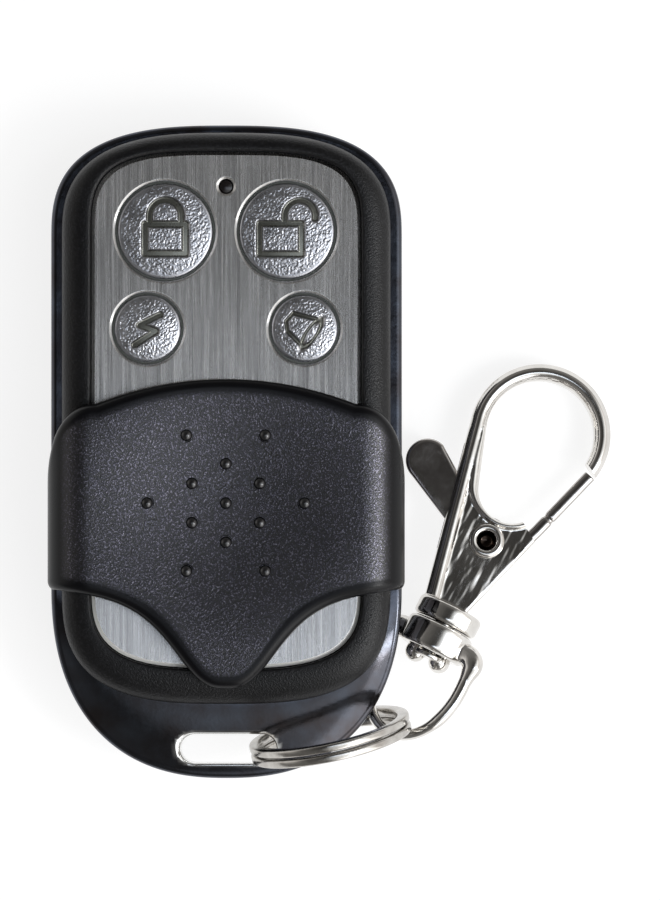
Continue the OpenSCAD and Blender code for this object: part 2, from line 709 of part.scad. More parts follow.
// A tube of the given cross-section round a coil: path(a) gives [radius, height]
function tube_ring(a, c, section) = [for (p = section)
    [(c[0] + p[0]) * cos(a), (c[0] + p[0]) * sin(a), c[1] + p[1]]];
function tube_faces(n, m) = concat([[for (k = [m - 1:-1:0]) k]],
    [for (r = [0:n - 2]) for (k = [0:m - 1]) let(a = r * m + k, b = r * m + (k + 1) % m)
        each [[a, b, b + m], [a, b + m, a + m]]],
    [[for (k = [0:m - 1]) (n - 1) * m + k]]);
function round_section(r, sides) = [for (i = [0:sides - 1]) r * [cos(i * 360 / sides), sin(i * 360 / sides)]];
module coil(angles, centres, section) {
    rings = [for (i = [0:len(angles) - 1]) tube_ring(angles[i], centres[i], section)];
    polyhedron(flat(rings), tube_faces(len(rings), len(section)));
}
function coil_point(a, c) = [c[0] * cos(a), c[0] * sin(a), c[1]];
// Least distance between stretches of a coil more than half a turn apart, less the wire's thickness
function coil_gap(angles, centres, wire) = min([for (i = [0:len(angles) - 1])
    for (j = [0:len(angles) - 1]) if (angles[j] - angles[i] > 180)
        norm(coil_point(angles[j], centres[j]) - coil_point(angles[i], centres[i])) - wire]);

// Cell spring: a cone of wire from the plate to the cell's flat end
cell_angles = [for (i = [0:cell_turns * 16]) i * 22.5];
cell_sweep = cell_turns * 360;
spring_wide = 3;               // radii of the cone at the plate and at the cell
spring_narrow = 1.2;
cell_centres = [for (a = cell_angles) let(f = a / cell_sweep)
    [spring_wide + (spring_narrow - spring_wide) * f, cell_wire / 2 + (spring_room - cell_wire) * f]];
module battery_spring() {
    color(steel) translate([0, plate_low_y, cell_z]) rotate([-90, 0, 0])
        coil(cell_angles, cell_centres, round_section(cell_wire / 2, 6));
}

// Split ring: two flat turns of one wire, with the step between them in the gap at the wire's ends
ring_mid = (ring_od - ring_wire) / 2;
ring_pitch = ring_turn + ring_gap;
ring_axial = ring_turn + ring_pitch;
ring_step_from = 342;
ring_step_to = 378;
function ring_rise(a) = let(f = min(1, max(0, (a - ring_step_from) / (ring_step_to - ring_step_from))))
    ring_pitch * (f * f * (3 - 2 * f) - 0.5);
ring_from = 21;                // angles of the wire's two ends, each short of two whole turns
ring_to = 699;
ring_ends = -110;              // where the ends lie round the ring
ring_ease = 0.15;              // chamfer of the wire's corners
rest_play = 0.05;              // the ring and the hook's tip stand this far over the table
ring_angles = [for (a = [ring_from:6:ring_to]) a];
ring_centres = [for (a = ring_angles) [ring_mid, ring_rise(a)]];
ring_section = let(w = ring_wire / 2, h = ring_turn / 2, c = ring_ease)
    [[w, -h + c], [w, h - c], [w - c, h], [-w + c, h], [-w, h - c], [-w, -h + c], [-w + c, -h], [w - c, -h]];
ring_across = [cos(ring_yaw), sin(ring_yaw), 0];
ring_up = [sin(ring_yaw) * cos(ring_lean), -cos(ring_yaw) * cos(ring_lean), sin(ring_lean)];
ring_z = ring_od / 2 * sin(ring_lean) + ring_axial / 2 * cos(ring_lean) + rest_play;
pass_z = frame_z + (frame_h - chin_drop / 2) / 2;
pass_up = (pass_z - ring_z) / sin(ring_lean);
pass_reach = sqrt(ring_mid * ring_mid - pass_up * pass_up);
ring_x = ring_pass_x + pass_reach * cos(ring_yaw) - pass_up * ring_up[0];
ring_y = slot_y + pass_reach * sin(ring_yaw) - pass_up * ring_up[1];
ring_middle = [ring_x, ring_y, ring_z];
module split_ring() {
    color(steel) translate(ring_middle) rotate([180 - ring_lean, 0, ring_yaw]) rotate(ring_ends)
        coil(ring_angles, ring_centres, ring_section);
}

// Swivel eye and hook: they hang on the ring at one side, and the hook's tip rests on the table
hang = ring_middle + ring_mid * (cos(hang_angle) * ring_across - sin(hang_angle) * ring_up);
eye_offset = ring_axial / 2 + eye_wire / 2 + eye_play;
barrel_y = eye_l - eye_offset;
hook_reach = barrel_y + loop_y + loop_r;
hook_pitch = asin((hang[2] - hook_t / 2 - rest_play) / hook_reach);
hook_along = [sin(hook_yaw) * cos(hook_pitch), cos(hook_yaw) * cos(hook_pitch), -sin(hook_pitch)];
hook_across = [cos(hook_yaw), -sin(hook_yaw), 0];
hook_normal = cross(hook_across, hook_along);
swivel_middle = hang + barrel_y * hook_along;
module on_hook() {
    translate(swivel_middle) rotate([-hook_pitch, 0, -hook_yaw]) children();
}
module along_hook(r, y0, y1) {
    translate([0, y1, 0]) rotate([90, 0, 0]) cylinder(r = r, h = y1 - y0);
}
leg_short = 0.4;               // the legs and shoulders end under the barrel's top face
shoulder_up = 0.2;             // and the shoulders start over its lower one
shoulder_half = eye_wire * 0.8;
head_room = 0.3;               // round the pin's head
module swivel_eye() {
    leg_low = -eye_l + eye_r;
    color(chrome) on_hook() rotate([0, -eye_roll, 0]) difference() {
        union() {
            along_hook(barrel_r, -barrel_h / 2, barrel_h / 2);
            both_sides() {
                translate([eye_r, 0, 0]) along_hook(eye_wire / 2, leg_low, barrel_h / 2 - leg_short);
                block([0, -barrel_h / 2 + shoulder_up, -shoulder_half],
                    [eye_r + eye_wire / 4, barrel_h / 2 - leg_short, shoulder_half]);
            }
            translate([0, leg_low, 0]) rotate(180) rotate_extrude(angle = 180)
                translate([eye_r, 0]) circle(r = eye_wire / 2);
        }
        along_hook(pin_r + pin_fit, -eye_l, eye_l);
        along_hook(pin_head_r + head_room, -eye_l / 2, -barrel_h / 2);
    }
}
collar_y = barrel_h / 2 + swivel_gap;
neck_y = collar_y + collar_h;
pin_in = 0.4;                  // length of the pin inside the neck
pin_top = neck_y + pin_in;
pin_head_h = 1.2;
pin_crown = pin_head_r * 1.45; // ball that rounds the head's end
pin_crown_in = pin_head_r * 0.6;
module swivel_pin() {
    head_y = -barrel_h / 2 - swivel_gap;
    color(steel) on_hook() {
        along_hook(pin_r, head_y - eps, pin_top);
        intersection() {
            along_hook(pin_head_r, head_y - pin_head_h, head_y);
            translate([0, head_y + pin_crown_in, 0]) sphere(r = pin_crown);
        }
    }
}

// Hook outline: lines from the neck's corners, tangent to the loop's circle
neck_rise = 0.3;               // the flat starts over the collar
neck_stub = 0.9;               // round stub between the collar and the flat
neck_in = 0.2;                 // and its step in from the flat's edges
neck_low = neck_y + neck_rise;
loop_middle = [0, loop_y];
neck_left = [-neck_w / 2 - neck_shift, neck_low];
neck_right = [neck_w / 2 - neck_shift, neck_low];
function tangent_angle(p, side) = let(d = p - loop_middle)
    atan2(d[1], d[0]) + side * acos(loop_r / norm(d));
right_angle = tangent_angle(neck_right, 1);
left_angle = tangent_angle(neck_left, -1) + 360;
function arc(c, r, a0, a1, n) = [for (i = [0:n]) let(a = a0 + (a1 - a0) * i / n)
    c + r * [cos(a), sin(a)]];
hook_outline = concat(arc(loop_middle, loop_r, right_angle, left_angle, 40), [neck_left, neck_right]);
hole_r = loop_r - loop_band;
hole_low_middle = [0, hole_low + hole_low_r];
hole_lean = asin((hole_r - hole_low_r) / (loop_y - hole_low_middle[1]));
function hole_outline(grow) = concat(
    arc(loop_middle, hole_r + grow, -hole_lean, 180 + hole_lean, 32),
    arc(hole_low_middle, hole_low_r + grow, 180 + hole_lean, 360 - hole_lean, 20));
rail_end = loop_middle + loop_r * [cos(left_angle), sin(left_angle)];
rail_line = (rail_end - neck_left) / norm(rail_end - neck_left);
rail_in = [rail_line[1], -rail_line[0]] * loop_band;
rail_outline = [neck_left, neck_left + rail_in, rail_end + rail_in, rail_end];
gate_start = loop_middle + loop_r * [cos(right_angle), sin(right_angle)];
gate_line = (gate_start - neck_right) / norm(gate_start - neck_right);
gate_in = [-gate_line[1], gate_line[0]];
function on_gate(y, inward) = neck_right + gate_line * ((y - neck_right[1]) / gate_line[1])
    + gate_in * inward;
shoulder_drop = 0.5;           // the gate's shoulder lies under the hole's lower end
shoulder_y = hole_low - shoulder_drop;
mouth_in = 2;                  // the mouth's lower edge slopes from the hole out to the shoulder
mouth_out = 4.4;
mouth_rise = 1;
slot_low = 2.6;                // the lever's slot, under the rivet
slot_rise = 1.5;               // over the hole's lower end
slot_tab = 3;                  // and over the thumb tab's middle
past = 3;                      // reach of cuts past the hook's edges
rivet_middle = [0, rivet_y];
nose_r = norm(on_gate(nose_end, 0) - rivet_middle);     // the nose ends on an arc about the rivet
module flat_piece(points, t) {
    translate([0, 0, -t / 2]) linear_extrude(t) polygon(points);
}
module hook_body() {
    wide = loop_r + past;
    color(chrome) on_hook() difference() {
        union() {
            flat_piece(hook_outline, web_t);
            flat_piece(arc(loop_middle, loop_r, right_angle, left_angle, 40), hook_t);
            flat_piece(rail_outline, hook_t);
            flat_piece(hole_outline(rim_w), hook_t);
            along_hook(collar_r, collar_y, neck_y);
            along_hook(neck_w / 2 - neck_in, neck_y - eps, neck_y + neck_stub);
        }
        flat_piece(hole_outline(0), hook_t + 1);
        intersection() {
            flat_piece([[mouth_in, hole_low + mouth_rise], [mouth_out, shoulder_y], [wide, shoulder_y],
                [wide, loop_y], [mouth_in, loop_y]], hook_t + 1);
            translate([0, rivet_y, -hook_t]) cylinder(r = nose_r, h = 2 * hook_t, $fn = 180);
        }
        flat_piece([[-wide, rivet_y - slot_low], [wide, rivet_y - slot_low], [wide, hole_low + slot_rise],
            [-hole_low_r, hole_low + slot_rise], [-hole_low_r, tab_y + slot_tab],
            [-wide, tab_y + slot_tab]], lever_slot);
        translate([0, rivet_y, -hook_t]) cylinder(r = rivet_r, h = 2 * hook_t);
        along_hook(pin_r, 0, pin_top);
    }
}
spring_pocket_w = 0.75;
spring_pocket_r = rivet_r + spring_pocket_w;
spring_pocket_t = 0.5;
tab_root = 1.5;                // the tab points away from a place over the rivet
tab_near = 0.6;                // corners where the tab leaves the hub
tab_far = 1.4;
tab_foot = 0.9;
gate_foot = 0.6;               // the gate starts under the rivet
gate_flush = 0.15;             // and lies in from the hook's edge there
hub_in = 0.1;
module gate_lever() {
    tab_end = [-tab_reach, tab_y];
    tab_way = tab_end - [0, rivet_y + tab_root];
    tab_dir = tab_way / norm(tab_way);
    tab_side = [-tab_dir[1], tab_dir[0]];
    gate_low = rivet_y - gate_foot;
    color(steel) on_hook() difference() {
        union() {
            translate([0, rivet_y, -lever_t / 2]) cylinder(r = hub_r, h = lever_t);
            intersection() {
                flat_piece([on_gate(gate_low, gate_flush), on_gate(loop_y, 0), on_gate(loop_y, gate_w),
                    on_gate(hole_low + mouth_rise, gate_w), [0, rivet_y + hub_r - hub_in]], lever_t);
                translate([0, rivet_y, -lever_t]) cylinder(r = nose_r - gate_gap, h = 2 * lever_t,
                    $fn = 180);
            }
            translate([tab_end[0], tab_end[1], -lever_t / 2]) cylinder(r = tab_w / 2, h = lever_t);
            flat_piece([tab_end + tab_side * tab_w / 2, tab_end - tab_side * tab_w / 2,
                [-tab_near, rivet_y + hub_r - hub_in], [-tab_far, rivet_y - hub_r + tab_foot]], lever_t);
        }
        translate([0, rivet_y, -lever_t]) cylinder(r = rivet_r + rivet_fit, h = 2 * lever_t);
        translate([0, rivet_y, -lever_t]) cylinder(r = spring_pocket_r,
            h = lever_t / 2 + spring_pocket_t);
    }
}
module gate_rivet() {
    color(steel) on_hook() translate([0, rivet_y, 0]) difference() {
        union() {
            pipe(rivet_r, -web_t / 2, web_t / 2);
            for (s = [-1, 1]) translate([0, 0, s * (web_t + rivet_flange_t) / 2 - rivet_flange_t / 2])
                cylinder(r = rivet_flange, h = rivet_flange_t);
        }
        pipe(rivet_bore, web_t / 2 + rivet_flange_t - rivet_hollow, hook_t);
    }
}
gate_wire = 0.3;
module gate_spring() {
    r = (rivet_r + rivet_fit + spring_pocket_r) / 2;
    color(steel) on_hook() translate([0, rivet_y, -lever_t / 2 + spring_pocket_t / 2])
        rotate(200) rotate_extrude(angle = 300) translate([r, 0]) circle(r = gate_wire / 2, $fn = 16);
}

chrome_frame();
front_shell();
rear_shell();
face_plate();
slide_cover();
case_screws();
light_guide();
lock_button();
unlock_button();
flash_button();
siren_button();
lock_plunger();
unlock_plunger();
flash_plunger();
siren_plunger();
circuit_board();
switch_bodies();
indicator_led();
encoder_chip();
resonator();
transmit_transistor();
board_passives();
battery();
battery_spring();
spring_plate();
battery_contact();
split_ring();
swivel_eye();
swivel_pin();
hook_body();
gate_lever();
gate_rivet();
gate_spring();

echo(split_ring_gap = coil_gap(ring_angles, ring_centres, ring_turn));
echo(cell_spring_gap = coil_gap(cell_angles, cell_centres, cell_wire));
echo(ring_pass = [ring_pass_x, slot_y, pass_z]);
echo(ring_middle = ring_middle, ring_across = ring_across, ring_up = ring_up);
echo(hang = hang, swivel_middle = swivel_middle, hook_along = hook_along, hook_normal = hook_normal);
echo(rivet_place = swivel_middle + rivet_y * hook_along, hook_pitch = hook_pitch);
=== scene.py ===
import json
import bpy
import bmesh
import numpy as np
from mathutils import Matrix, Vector


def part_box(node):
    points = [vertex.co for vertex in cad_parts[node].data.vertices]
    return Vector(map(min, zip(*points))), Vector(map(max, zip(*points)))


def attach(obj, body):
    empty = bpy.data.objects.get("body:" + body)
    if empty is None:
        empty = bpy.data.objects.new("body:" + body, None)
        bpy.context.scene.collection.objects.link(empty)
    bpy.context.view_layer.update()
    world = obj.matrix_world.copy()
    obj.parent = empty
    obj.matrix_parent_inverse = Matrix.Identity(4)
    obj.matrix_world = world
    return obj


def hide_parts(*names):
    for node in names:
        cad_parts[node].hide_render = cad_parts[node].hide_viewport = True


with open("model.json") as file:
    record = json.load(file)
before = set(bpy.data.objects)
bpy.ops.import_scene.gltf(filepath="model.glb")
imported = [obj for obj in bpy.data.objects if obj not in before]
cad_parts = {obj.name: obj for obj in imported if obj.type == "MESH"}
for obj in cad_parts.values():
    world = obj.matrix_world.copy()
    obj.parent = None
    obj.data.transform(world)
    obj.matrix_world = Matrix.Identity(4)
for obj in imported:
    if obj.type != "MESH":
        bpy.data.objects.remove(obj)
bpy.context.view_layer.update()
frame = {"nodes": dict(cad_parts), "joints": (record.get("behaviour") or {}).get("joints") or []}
mm = 0.001
pi = np.pi
scene = bpy.context.scene
scene.view_settings.view_transform = "Standard"
joints = {j["name"]: j for j in frame["joints"]}
buttonNames = ("lock", "unlock", "flash", "siren")
print("frame loaded")


def nodeBox(node):
    # a node's lowest and highest corners in millimetres
    return [np.array(corner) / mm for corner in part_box(node)]


def softStep(v, low, high):
    # nought up to low, one from high on: 3 f squared - 2 f cubed between them
    f = np.clip((v - low) / (high - low), 0, 1)
    return f * f * (3 - 2 * f)


def quarter(steps):
    # angles of a quarter turn
    return np.linspace(0, pi / 2, steps)


def headings(a):
    # unit vectors at the given angles
    return np.stack([np.cos(a), np.sin(a)], -1)


def fullTurn(steps):
    return np.linspace(0, 2 * pi, steps, endpoint=False)


def pointAt(middle, r, degrees):
    return middle + r * headings(np.radians(degrees))


def arcPoints(middle, r, a0, a1, n):
    # n points on an arc from a0 to a1 degrees
    return pointAt(middle, r, np.linspace(a0, a1, n))


def runAlong(points):
    # length along a chain of points, from its first point to each
    return np.concatenate([[0], np.cumsum(np.hypot(*np.diff(points, axis=0).T))])


def placesAlong(points, count, endpoint=True):
    # places evenly along a chain of points, and the length run to each
    run = runAlong(points)
    at = np.linspace(0, run[-1], count, endpoint=endpoint)
    return np.stack([np.interp(at, run, points[:, 0]), np.interp(at, run, points[:, 1])], 1), at


def turnMatrix(axis, degrees):
    # right-handed turn about a coordinate axis
    a = np.radians(degrees)
    c, s = np.cos(a), np.sin(a)
    i, j = {"x": (1, 2), "y": (2, 0), "z": (0, 1)}[axis]
    m = np.eye(3)
    m[i, i] = m[j, j] = c
    m[i, j], m[j, i] = -s, s
    return m


class Skin:
    # gathers the points (millimetres), faces and grain weights of one mesh
    def __init__(self):
        self.points, self.faces, self.weights, self.count = [], [], [], 0

    def add(self, points, weight=1.0):
        points = np.asarray(points, float).reshape(-1, 3)
        self.points.append(points)
        self.weights.append(np.broadcast_to(np.ravel(weight), len(points)))
        self.count += len(points)
        return np.arange(self.count - len(points), self.count)

    def grid(self, points, wrapRows=False, wrapCols=False, weight=1.0):
        # quads between neighbouring rows and columns of a rows x cols x 3 array
        rows, cols = points.shape[:2]
        ids = self.add(points, weight).reshape(rows, cols)
        down = np.roll(ids, -1, 0) if wrapRows else ids[1:]
        a = ids if wrapRows else ids[:-1]
        quads = np.stack([a, np.roll(a, -1, 1), np.roll(down, -1, 1), down], -1)
        if not wrapCols:
            quads = quads[:, :-1]
        self.faces += quads.reshape(-1, 4).tolist()
        return ids

    def fan(self, ring, centre, weight=1.0):
        # triangles from one middle point to a closed ring
        tip = self.add(centre, weight)[0]
        tips = np.full(len(ring), tip)
        self.faces += np.stack([ring, np.roll(ring, -1), tips], 1).tolist()

    def capEnds(self, ids):
        # one face over the first row and one over the last
        self.faces += [list(ids[0]), list(ids[-1])]

    def fill(self, rings):
        # flat face inside the first ring and outside the others
        every = np.concatenate(self.points)
        bm = bmesh.new()
        lookup = []
        for ring in rings:
            verts = [bm.verts.new(p) for p in every[ring].tolist()]
            for a, b in zip(verts, verts[1:] + verts[:1]):
                bm.edges.new((a, b))
            lookup += list(ring)
        bm.verts.index_update()
        made = bmesh.ops.triangle_fill(bm, use_beauty=True, use_dissolve=False, edges=bm.edges[:])
        self.faces += [[int(lookup[v.index]) for v in f.verts] for f in made["geom"]
                       if isinstance(f, bmesh.types.BMFace)]
        bm.free()


def revolved(skin, profile, steps, axis="z", closed=False, weight=1.0, at=(0, 0, 0)):
    # profile of (radius, height) carried round an axis through at; a radius of nought is a pole
    a = fullTurn(steps)
    profile = np.asarray(profile, float)
    weight = np.broadcast_to(weight, len(profile))
    solid = profile[:, 0] > 1e-9
    poles = [] if closed else [i for i in (0, -1) if not solid[i]]
    body = profile[solid]
    r, h = body[:, :1], np.repeat(body[:, 1:], steps, 1)
    u, v = r * np.cos(a), r * np.sin(a)
    order = {"z": (u, v, h), "y": (u, h, -v)}[axis]
    ids = skin.grid(np.stack(order, -1) + at, wrapRows=closed, wrapCols=True,
                    weight=np.repeat(weight[solid], steps))
    for i in poles:
        tip = (0, 0, profile[i, 1]) if axis == "z" else (0, profile[i, 1], 0)
        skin.fan(ids[i], np.add(tip, at), weight[i])


def atHeight(ring, z):
    return np.column_stack([ring, np.broadcast_to(z, len(ring))])


def tube(skin, path, section, sideways):
    # cross-sections (m,2) of offsets along sideways and across, carried along a path (n,3) and square to it
    along = np.gradient(path, axis=0)
    along /= np.linalg.norm(along, axis=1, keepdims=True)
    side = sideways - along * np.sum(sideways * along, 1, keepdims=True)
    side /= np.linalg.norm(side, axis=1, keepdims=True)
    up = np.cross(along, side)
    section = np.broadcast_to(section, (len(path), *np.shape(section)[-2:]))
    points = path[:, None] + section[:, :, :1] * side[:, None] + section[:, :, 1:] * up[:, None]
    skin.capEnds(skin.grid(points, wrapCols=True))


def flatTube(skin, path, section):
    # a tube along a path (n,2) that lies in the flat
    tube(skin, atHeight(path, 0.0), section, np.tile([0.0, 0, 1], (len(path), 1)))


def squarish(halfWide, halfHigh, power, steps=20):
    # superellipse section
    a = fullTurn(steps)
    e = 2 / power
    return np.stack([halfWide * np.sign(np.cos(a)) * np.abs(np.cos(a)) ** e,
                     halfHigh * np.sign(np.sin(a)) * np.abs(np.sin(a)) ** e], 1)


def roundedDrum(r, y0, y1, roll, bore=0):
    # (radius, height) profile of a drum with rolled edges
    t = quarter(6)
    low = [(r - roll * (1 - np.sin(k)), y0 + roll * (1 - np.cos(k))) for k in t]
    high = [(r - roll * (1 - np.cos(k)), y1 - roll * (1 - np.sin(k))) for k in t]
    return [(bore, y0)] + low + high + [(bore, y1)]


def objectFrom(name, data):
    made = bpy.data.objects.new(name, data)
    scene.collection.objects.link(made)
    return made


def pieceFrom(name, skin, place=None):
    # one closed mesh in metres; place is (turn, shift) from the piece's own axes
    points = np.concatenate(skin.points)
    if place is not None:
        points = points @ place[0].T + place[1]
    mesh = bpy.data.meshes.new(name)
    mesh.from_pydata((points * mm).tolist(), [], skin.faces)
    weights = np.concatenate(skin.weights).astype(np.float32)
    mesh.attributes.new("grain", "FLOAT", "POINT").data.foreach_set("value", weights)
    bm = bmesh.new()
    bm.from_mesh(mesh)
    bmesh.ops.remove_doubles(bm, verts=bm.verts[:], dist=2e-7)
    bmesh.ops.recalc_face_normals(bm, faces=bm.faces[:])
    bm.to_mesh(mesh)
    bm.free()
    return objectFrom(name, mesh)


def pointsOf(piece):
    # a piece's points as rows, in metres
    flat = np.empty(len(piece.data.vertices) * 3)
    piece.data.vertices.foreach_get("co", flat)
    return flat.reshape(-1, 3)


def setGrain(piece, weights):
    piece.data.attributes["grain"].data.foreach_set("value", weights.astype(np.float32))


def bake(piece):
    # swaps a piece's mesh for the result of its modifiers
    made = bpy.data.meshes.new_from_object(piece.evaluated_get(bpy.context.evaluated_depsgraph_get()))
    old = piece.data
    piece.modifiers.clear()
    piece.data = made
    bpy.data.meshes.remove(old)


def cutBy(piece, cutter):
    change = piece.modifiers.new("cut", "BOOLEAN")
    change.operation, change.solver, change.object = "DIFFERENCE", "EXACT", cutter
    bake(piece)
    mesh = cutter.data
    bpy.data.objects.remove(cutter)
    bpy.data.meshes.remove(mesh)


def castTogether(piece, voxel, rounds):
    # joins overlapping shells into one cast body with softened corners
    change = piece.modifiers.new("cast", "REMESH")
    change.mode, change.voxel_size = "VOXEL", voxel * mm
    soften = piece.modifiers.new("soften", "SMOOTH")
    soften.factor, soften.iterations = 0.5, rounds
    bake(piece)


def finishPiece(piece, material, body, nodes, sharp=40):
    mesh = piece.data
    mesh.materials.clear()
    mesh.materials.append(material)
    mesh.polygons.foreach_set("use_smooth", np.ones(len(mesh.polygons), bool))
    if sharp:
        mesh.set_sharp_from_angle(angle=np.radians(sharp))
    mesh.update()
    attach(piece, body)
    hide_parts(*nodes)
    mesh.name = piece.name
    print("made", piece.name, len(mesh.polygons))


# Materials: each reads Object coordinates, so scales are per metre
def newFinish(name, **sockets):
    finish = bpy.data.materials.new(name)
    finish.use_nodes = True
    tree = finish.node_tree
    shader = tree.nodes["Principled BSDF"]
    for key, value in sockets.items():
        shader.inputs[key.replace("_", " ")].default_value = value
    return finish, tree, shader


def addNode(tree, kind, links=None, **settings):
    node = tree.nodes.new(kind)
    for key, value in settings.items():
        if key in node.inputs:
            node.inputs[key].default_value = value
        else:
            setattr(node, key, value)
    for key, source in (links or {}).items():
        tree.links.new(source, node.inputs[key])
    return node


def feed(tree, shader, **sources):
    # links each source to the shader's socket of that name
    for key, source in sources.items():
        tree.links.new(source, shader.inputs[key.replace("_", " ")])


def maths(tree, how, first, second):
    return addNode(tree, "ShaderNodeMath", {0: first, 1: second}, operation=how).outputs[0]


def patternOn(tree, scale=(1, 1, 1), turn=(0, 0, 0)):
    where = addNode(tree, "ShaderNodeTexCoord")
    return addNode(tree, "ShaderNodeMapping", {"Vector": where.outputs["Object"]}, Scale=scale,
                   Rotation=turn).outputs[0]


def noiseOn(tree, vector, scale, detail=3.0, rough=0.55):
    return addNode(tree, "ShaderNodeTexNoise", {"Vector": vector}, Scale=scale, Detail=detail,
                   Roughness=rough).outputs["Fac"]


def grainOf(tree):
    return addNode(tree, "ShaderNodeAttribute", attribute_name="grain").outputs["Fac"]


def spread(tree, value, low, high, fromLow=0.3, fromHigh=0.7):
    # value from one range carried to another
    node = addNode(tree, "ShaderNodeMapRange", {0: value})
    for i, v in zip((1, 2, 3, 4), (fromLow, fromHigh, low, high)):
        node.inputs[i].default_value = v
    return node.outputs[0]


def tinted(tree, value, dark, light, low=0.3, high=0.7):
    # colour that runs from dark to light with the value
    ramp = addNode(tree, "ShaderNodeValToRGB", {"Fac": value})
    for stop, place, colour in zip(ramp.color_ramp.elements, (low, high), (dark, light)):
        stop.position = place
        stop.color = (*colour, 1)
    return ramp.outputs["Color"]


def paintedLightMixed(tree, weight, colour, paintedLightShade):
    # the colour that paints highlight and shade where the grain weight is nought
    mix = addNode(tree, "ShaderNodeMix", {0: weight, 7: colour}, data_type="RGBA")
    mix.inputs[6].default_value = (*paintedLightShade, 1)
    return mix.outputs[2]


def roughened(tree, shader, heights, strengths, distance):
    # bumps laid one over the other
    normal = None
    for height, strength in zip(heights, strengths):
        links = {"Height": height}
        if normal is not None:
            links["Normal"] = normal
        normal = addNode(tree, "ShaderNodeBump", links, Strength=strength,
                         Distance=distance * mm).outputs["Normal"]
    tree.links.new(normal, shader.inputs["Normal"])


def platedMetal(name, dark, light, rough, smudge, ripple, strength, paintedLightShade=None):
    # plated or polished metal: faint smudges in the gloss and a slight ripple; where grain is nought, no
    # ripple and the given colour: pale paints a highlight, dark paints shade
    finish, tree, shader = newFinish(name, Metallic=1.0)
    vector = patternOn(tree)
    smudges = noiseOn(tree, vector, smudge, 4)
    fine = noiseOn(tree, vector, smudge * 6, 2)
    colour = tinted(tree, smudges, dark, light)
    height = noiseOn(tree, vector, ripple, 2)
    if paintedLightShade is not None:
        weight = grainOf(tree)
        colour = paintedLightMixed(tree, weight, colour, paintedLightShade)
        height = maths(tree, "MULTIPLY", height, weight)
    gloss = spread(tree, maths(tree, "MULTIPLY", smudges, fine), *rough, 0.1, 0.45)
    feed(tree, shader, Base_Color=colour, Roughness=gloss)
    roughened(tree, shader, [height], [strength], 0.05)
    return finish


def grainedPlastic(name, dark, light, rough, grain, strength, specular, flake=0.0):
    # moulded plastic with a spark-eroded grain of the given pitch, whose high spots may glint as flakes do;
    # the grain attribute fades it to a smooth, duller edge
    finish, tree, shader = newFinish(name, Specular_IOR_Level=specular)
    vector = patternOn(tree, turn=(0.5, 0.35, 0.8))  # turned, so that no plane of the noise lies in a face
    coarse = noiseOn(tree, vector, 1000 / grain, 1, 0.5)
    fine = noiseOn(tree, vector, 1900 / grain, 1, 0.5)
    cloud = noiseOn(tree, vector, 160, 3)
    weight = grainOf(tree)
    height = maths(tree, "ADD", coarse, fine)
    specks = maths(tree, "MULTIPLY", spread(tree, height, 0.0, 1.0, 0.95, 1.4), weight)
    height = maths(tree, "MULTIPLY", height, weight)
    feed(tree, shader, Base_Color=tinted(tree, specks, dark, light, 0.0, 1.0),
         Roughness=spread(tree, cloud, *rough),
         Specular_IOR_Level=spread(tree, weight, specular * 0.25, specular, 0.0, 1.0))
    if flake:
        feed(tree, shader, Metallic=spread(tree, specks, 0.0, flake, 0.0, 0.2))
    roughened(tree, shader, [height, cloud], [strength, strength * 0.1], grain * 0.35)
    return finish


def brushedMetal(name, dark, light, rough, pitch, paintedLightShade, highlightRough):
    # long scratches along Y: noise drawn out along the length, and gloss drawn out across it;
    # where grain is nought, the given pale colour, not metal, paints a highlight
    finish, tree, shader = newFinish(name, Anisotropic=0.95)
    weight = grainOf(tree)
    fine = noiseOn(tree, patternOn(tree, (1, 0.012, 1)), 1000 / pitch, 4, 0.7)
    wide = noiseOn(tree, patternOn(tree, (1, 0.03, 1)), 260 / pitch, 3, 0.6)
    scratches = spread(tree, maths(tree, "ADD", fine, wide), 0.0, 1.0, 0.72, 1.28)
    gloss = addNode(tree, "ShaderNodeMix", {0: weight, 3: spread(tree, fine, *rough)}, data_type="FLOAT")
    gloss.inputs[2].default_value = highlightRough
    across = addNode(tree, "ShaderNodeTangent", direction_type="UV_MAP", uv_map="across")
    feed(tree, shader, Roughness=gloss.outputs[0], Tangent=across.outputs[0],
         Base_Color=paintedLightMixed(tree, weight, tinted(tree, scratches, dark, light, 0.0, 1.0), paintedLightShade),
         Metallic=spread(tree, weight, 0.0, 1.0, 0.0, 0.3))
    heights = [maths(tree, "MULTIPLY", height, weight) for height in (fine, wide)]
    roughened(tree, shader, heights, [0.22, 0.12], 0.03)
    return finish


def castNickel(name, dark, light, rough, along):
    # polished casting: smudged gloss, and faint tumbling streaks along the given heading (degrees from Y)
    finish, tree, shader = newFinish(name, Metallic=1.0)
    vector = patternOn(tree)
    smudges = noiseOn(tree, vector, 350, 4)
    streaks = noiseOn(tree, patternOn(tree, (1, 0.14, 1), (0, 0, np.radians(along))), 1500, 3, 0.6)
    feed(tree, shader, Base_Color=tinted(tree, smudges, dark, light), Roughness=spread(tree, smudges, *rough))
    roughened(tree, shader, [streaks, noiseOn(tree, vector, 420, 2)], [0.16, 0.1], 0.05)
    return finish


def mottledPart(name, dark, light, rough, scale, metallic=0.0):
    # small parts: mottled colour and a little texture
    finish, tree, shader = newFinish(name, Metallic=metallic)
    mottle = noiseOn(tree, patternOn(tree), scale, 4)
    feed(tree, shader, Base_Color=tinted(tree, mottle, dark, light), Roughness=spread(tree, mottle, *rough))
    roughened(tree, shader, [mottle], [0.1], 0.05)
    return finish


def smokedPlastic(name, dark, light, rough, scale, specular):
    # dark clear plastic, slightly cloudy
    finish, tree, shader = newFinish(name, Roughness=rough, Specular_IOR_Level=specular)
    feed(tree, shader, Base_Color=tinted(tree, noiseOn(tree, patternOn(tree), scale), dark, light))
    return finish
